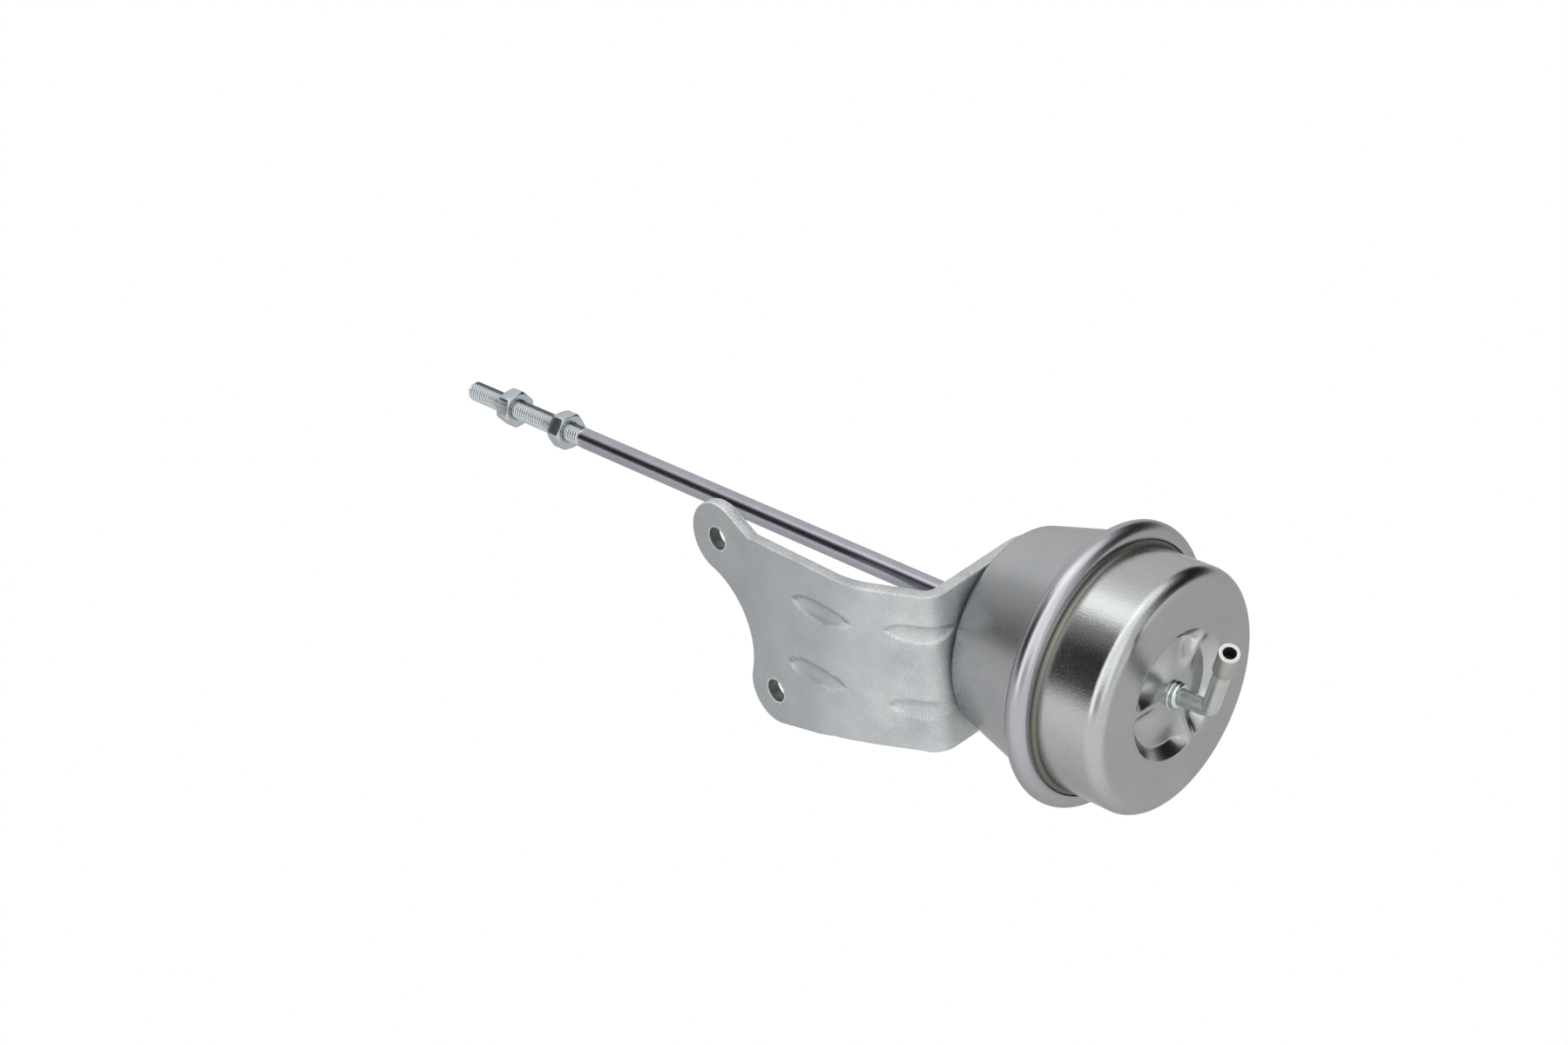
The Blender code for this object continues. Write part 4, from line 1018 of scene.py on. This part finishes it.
nut = nut_skin(ROD_TIP_X + ADJUSTER_PLACE, ADJUSTER_TURN)
add_piece("adjuster_nut_skin", nut, nut_zinc, "rod", "adjuster_nut", NUT_SHARP)
nut = nut_skin(ROD_TIP_X + LOCK_NUT_PLACE, LOCK_NUT_TURN)
add_piece("lock_nut_skin", nut, nut_zinc, "rod", "lock_nut", NUT_SHARP)
coil = node_copy("return_spring")
spring_coil = add_piece(
    "return_spring_coil", coil, spring_steel, "casing", "return_spring",
    sharp=60.0, at=Vector(),
)
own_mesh(spring_coil)

kept_nodes = {
    "diaphragm": black_rubber,
    "spring_seat": can_zinc,
    "guide_bush": sintered_bronze,
    "shoulder_washer": spring_steel,
    "piston_cup": can_zinc,
    "diaphragm_plate": can_zinc,
}
for node, finish in kept_nodes.items():
    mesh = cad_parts[node].data
    mesh.materials.clear()
    mesh.materials.append(finish)

# Studio: each panel has a level of light, then its middle, half width and softness round the part,
# and then the same three up from the horizon. The camera stands at about 318 round the part.
PANEL_SHAPE = ("Middle", "Half Width", "Side Softness", "Height", "Half Height", "Top Softness")
STUDIO_PANELS = {
    "ceiling": (1.80, 0.0, 181.0, 1.0, 80.0, 26.0, 12.0),
    "top light": (2.70, 0.0, 181.0, 1.0, 90.0, 12.0, 6.0),
    "back wall": (0.98, 142.0, 38.0, 14.0, 34.0, 24.0, 12.0),
    "far left card": (0.56, 192.0, 15.0, 8.0, 20.0, 22.0, 8.0),
    "front light": (1.20, 302.0, 48.0, 6.0, 14.0, 26.0, 8.0),
    "high front light": (1.75, 306.0, 46.0, 6.0, 46.0, 24.0, 8.0),
    "left strip": (2.20, 268.0, 12.0, 5.0, 26.0, 34.0, 8.0),
    "right strip": (1.90, 334.0, 10.0, 5.0, 20.0, 22.0, 8.0),
    "low front card": (0.60, 298.0, 14.0, 7.0, 5.0, 12.0, 8.0),
    "high far left light": (2.20, 188.0, 22.0, 8.0, 63.0, 9.0, 5.0),
    "high left light": (2.60, 268.0, 24.0, 8.0, 66.0, 8.0, 6.0),
    "left grey card": (0.32, 226.0, 23.0, 7.0, 32.0, 30.0, 8.0),
    "left black card": (0.02, 227.0, 24.0, 6.0, 27.0, 18.0, 6.0),
    "right grey card": (0.34, 64.0, 43.0, 10.0, 21.0, 26.0, 8.0),
    "right black card": (0.02, 72.0, 38.0, 10.0, 21.0, 15.0, 8.0),
}
WHITE = (1.0, 1.0, 1.0, 1.0)
DOME_LEVEL = 1.0
BELOW_LEVEL = 1.0
HORIZON = {"From Min": -4.0, "From Max": 2.0}     # the panels fade out across these heights
FLOOR_DROP = 0.30               # from the part's lowest point down to the floor
FLOOR_REACH = 8.0
FLOOR_ROUGHNESS = 0.9
FLOOR_SLOPE = (0.695, -0.72, 0.0)        # the floor's colour is painted lighter this way, as if more light fell on that side
FLOOR_SHADE = {"From Min": -0.02, "From Max": 0.36, "To Min": 0.63, "To Max": 0.95}


def panel_group():
    """Mask of one soft-edged light or dark panel in the studio, by its azimuth and elevation."""
    inputs = dict.fromkeys(("Azimuth", "Elevation", *PANEL_SHAPE), 0.0)
    group, start, end = value_group("studio_panel", inputs, ("Mask",))

    def within(distance, half, soft):
        """1 up to half a width from the panel's middle and 0 beyond it, with a soft edge."""
        edges = {
            "Value": maths(group, "ABSOLUTE", distance),
            "From Min": maths(group, "SUBTRACT", start.outputs[half], start.outputs[soft]),
            "From Max": maths(group, "ADD", start.outputs[half], start.outputs[soft]),
            "To Min": 1.0,
            "To Max": 0.0,
        }
        ramp = add_node(group, "ShaderNodeMapRange", edges, interpolation_type="SMOOTHSTEP")
        return ramp.outputs["Result"]

    turn = maths(group, "SUBTRACT", start.outputs["Azimuth"], start.outputs["Middle"])
    rise = maths(group, "SUBTRACT", start.outputs["Elevation"], start.outputs["Height"])
    across = within(maths(group, "WRAP", turn, 180.0, -180.0), "Half Width", "Side Softness")
    upright = within(rise, "Half Height", "Top Softness")
    group.links.new(maths(group, "MULTIPLY", across, upright), end.inputs["Mask"])
    return group


def show_plain(tree, lit, plain, output):
    """Light the object by one shader and show another, plain one to the camera."""
    seen = tree.nodes.new("ShaderNodeLightPath").outputs["Is Camera Ray"]
    shown = tree.nodes.new("ShaderNodeMixShader")
    for socket, source in zip(shown.inputs, (seen, lit.outputs[0], plain.outputs[0])):
        tree.links.new(source, socket)
    tree.links.new(shown.outputs[0], output.inputs["Surface"])


def studio_world():
    """A soft dome with light panels and dark cards round the object; the camera sees plain white."""
    world = bpy.data.worlds.new("studio")
    bpy.context.scene.world = world
    world.use_nodes = True
    tree = world.node_tree
    tree.nodes.clear()
    x, y, z = split_place(tree, "Generated")
    azimuth = maths(tree, "DEGREES", maths(tree, "ARCTAN2", y, x))
    elevation = maths(tree, "DEGREES", maths(tree, "ARCSINE", z))
    group = panel_group()
    level = DOME_LEVEL
    for name, (strength, *shape) in STUDIO_PANELS.items():
        inputs = {"Azimuth": azimuth, "Elevation": elevation, **dict(zip(PANEL_SHAPE, shape))}
        panel = add_node(tree, "ShaderNodeGroup", inputs, node_tree=group, label=name)
        level = blended(tree, panel.outputs["Mask"], level, strength)
    above = add_node(tree, "ShaderNodeMapRange", {"Value": elevation, **HORIZON}).outputs["Result"]
    level = blended(tree, above, BELOW_LEVEL, level)
    light = add_node(tree, "ShaderNodeBackground", {"Color": WHITE, "Strength": level})
    plain = add_node(tree, "ShaderNodeBackground", {"Color": WHITE, "Strength": 1.0})
    show_plain(tree, light, plain, tree.nodes.new("ShaderNodeOutputWorld"))


def studio_floor():
    """A wide pale floor below the part, painted darker towards one side as shade; the camera sees it plain
    white.
    """
    paint = bpy.data.materials.new("pale_floor")
    paint.use_nodes = True
    tree = paint.node_tree
    shader = tree.nodes["Principled BSDF"]
    shader.inputs["Roughness"].default_value = FLOOR_ROUGHNESS
    slope = tree.nodes.new("ShaderNodeVectorMath")
    slope.operation = "DOT_PRODUCT"
    slope.inputs[1].default_value = FLOOR_SLOPE
    tree.links.new(tree.nodes.new("ShaderNodeTexCoord").outputs["Object"], slope.inputs[0])
    # painted light and shade across the floor's colour
    shade = add_node(tree, "ShaderNodeMapRange", {"Value": slope.outputs["Value"], **FLOOR_SHADE})
    tree.links.new(shade.outputs["Result"], shader.inputs["Base Color"])
    white = add_node(tree, "ShaderNodeEmission", {"Color": WHITE})
    show_plain(tree, shader, white, tree.nodes["Material Output"])
    level = cad_low.z - FLOOR_DROP
    signs = ((-1, -1), (1, -1), (1, 1), (-1, 1))
    corners = [(x * FLOOR_REACH, y * FLOOR_REACH, level) for x, y in signs]
    mesh = bpy.data.meshes.new("studio_floor")
    mesh.from_pydata(corners, [], [(0, 1, 2, 3)])
    mesh.materials.append(paint)
    made = bpy.data.objects.new("studio_floor", mesh)
    bpy.context.scene.collection.objects.link(made)
    return made


def photo_camera():
    """The camera of the photo, as it was fitted to the outlines of the bead and the cap."""
    data = bpy.data.cameras.new("camera")
    data.lens = 52.855
    data.sensor_width = 36.0
    data.sensor_fit = "HORIZONTAL"
    data.clip_start = 0.01
    data.clip_end = 40.0
    made = bpy.data.objects.new("camera", data)
    right = Vector((0.71072, 0.69810, -0.08674)).normalized()
    forward = Vector((-0.63247, 0.58013, -0.51326)).normalized()
    up = right.cross(forward).normalized()
    right = forward.cross(up)
    made.matrix_world = Matrix((
        (right.x, up.x, -forward.x, 0.359567),
        (right.y, up.y, -forward.y, -0.321563),
        (right.z, up.z, -forward.z, 0.318760),
        (0.0, 0.0, 0.0, 1.0),
    ))
    bpy.context.scene.collection.objects.link(made)
    return made


studio_world()
floor = studio_floor()
camera = photo_camera()
bpy.context.scene.camera = camera
bpy.context.scene.view_settings.view_transform = "Standard"
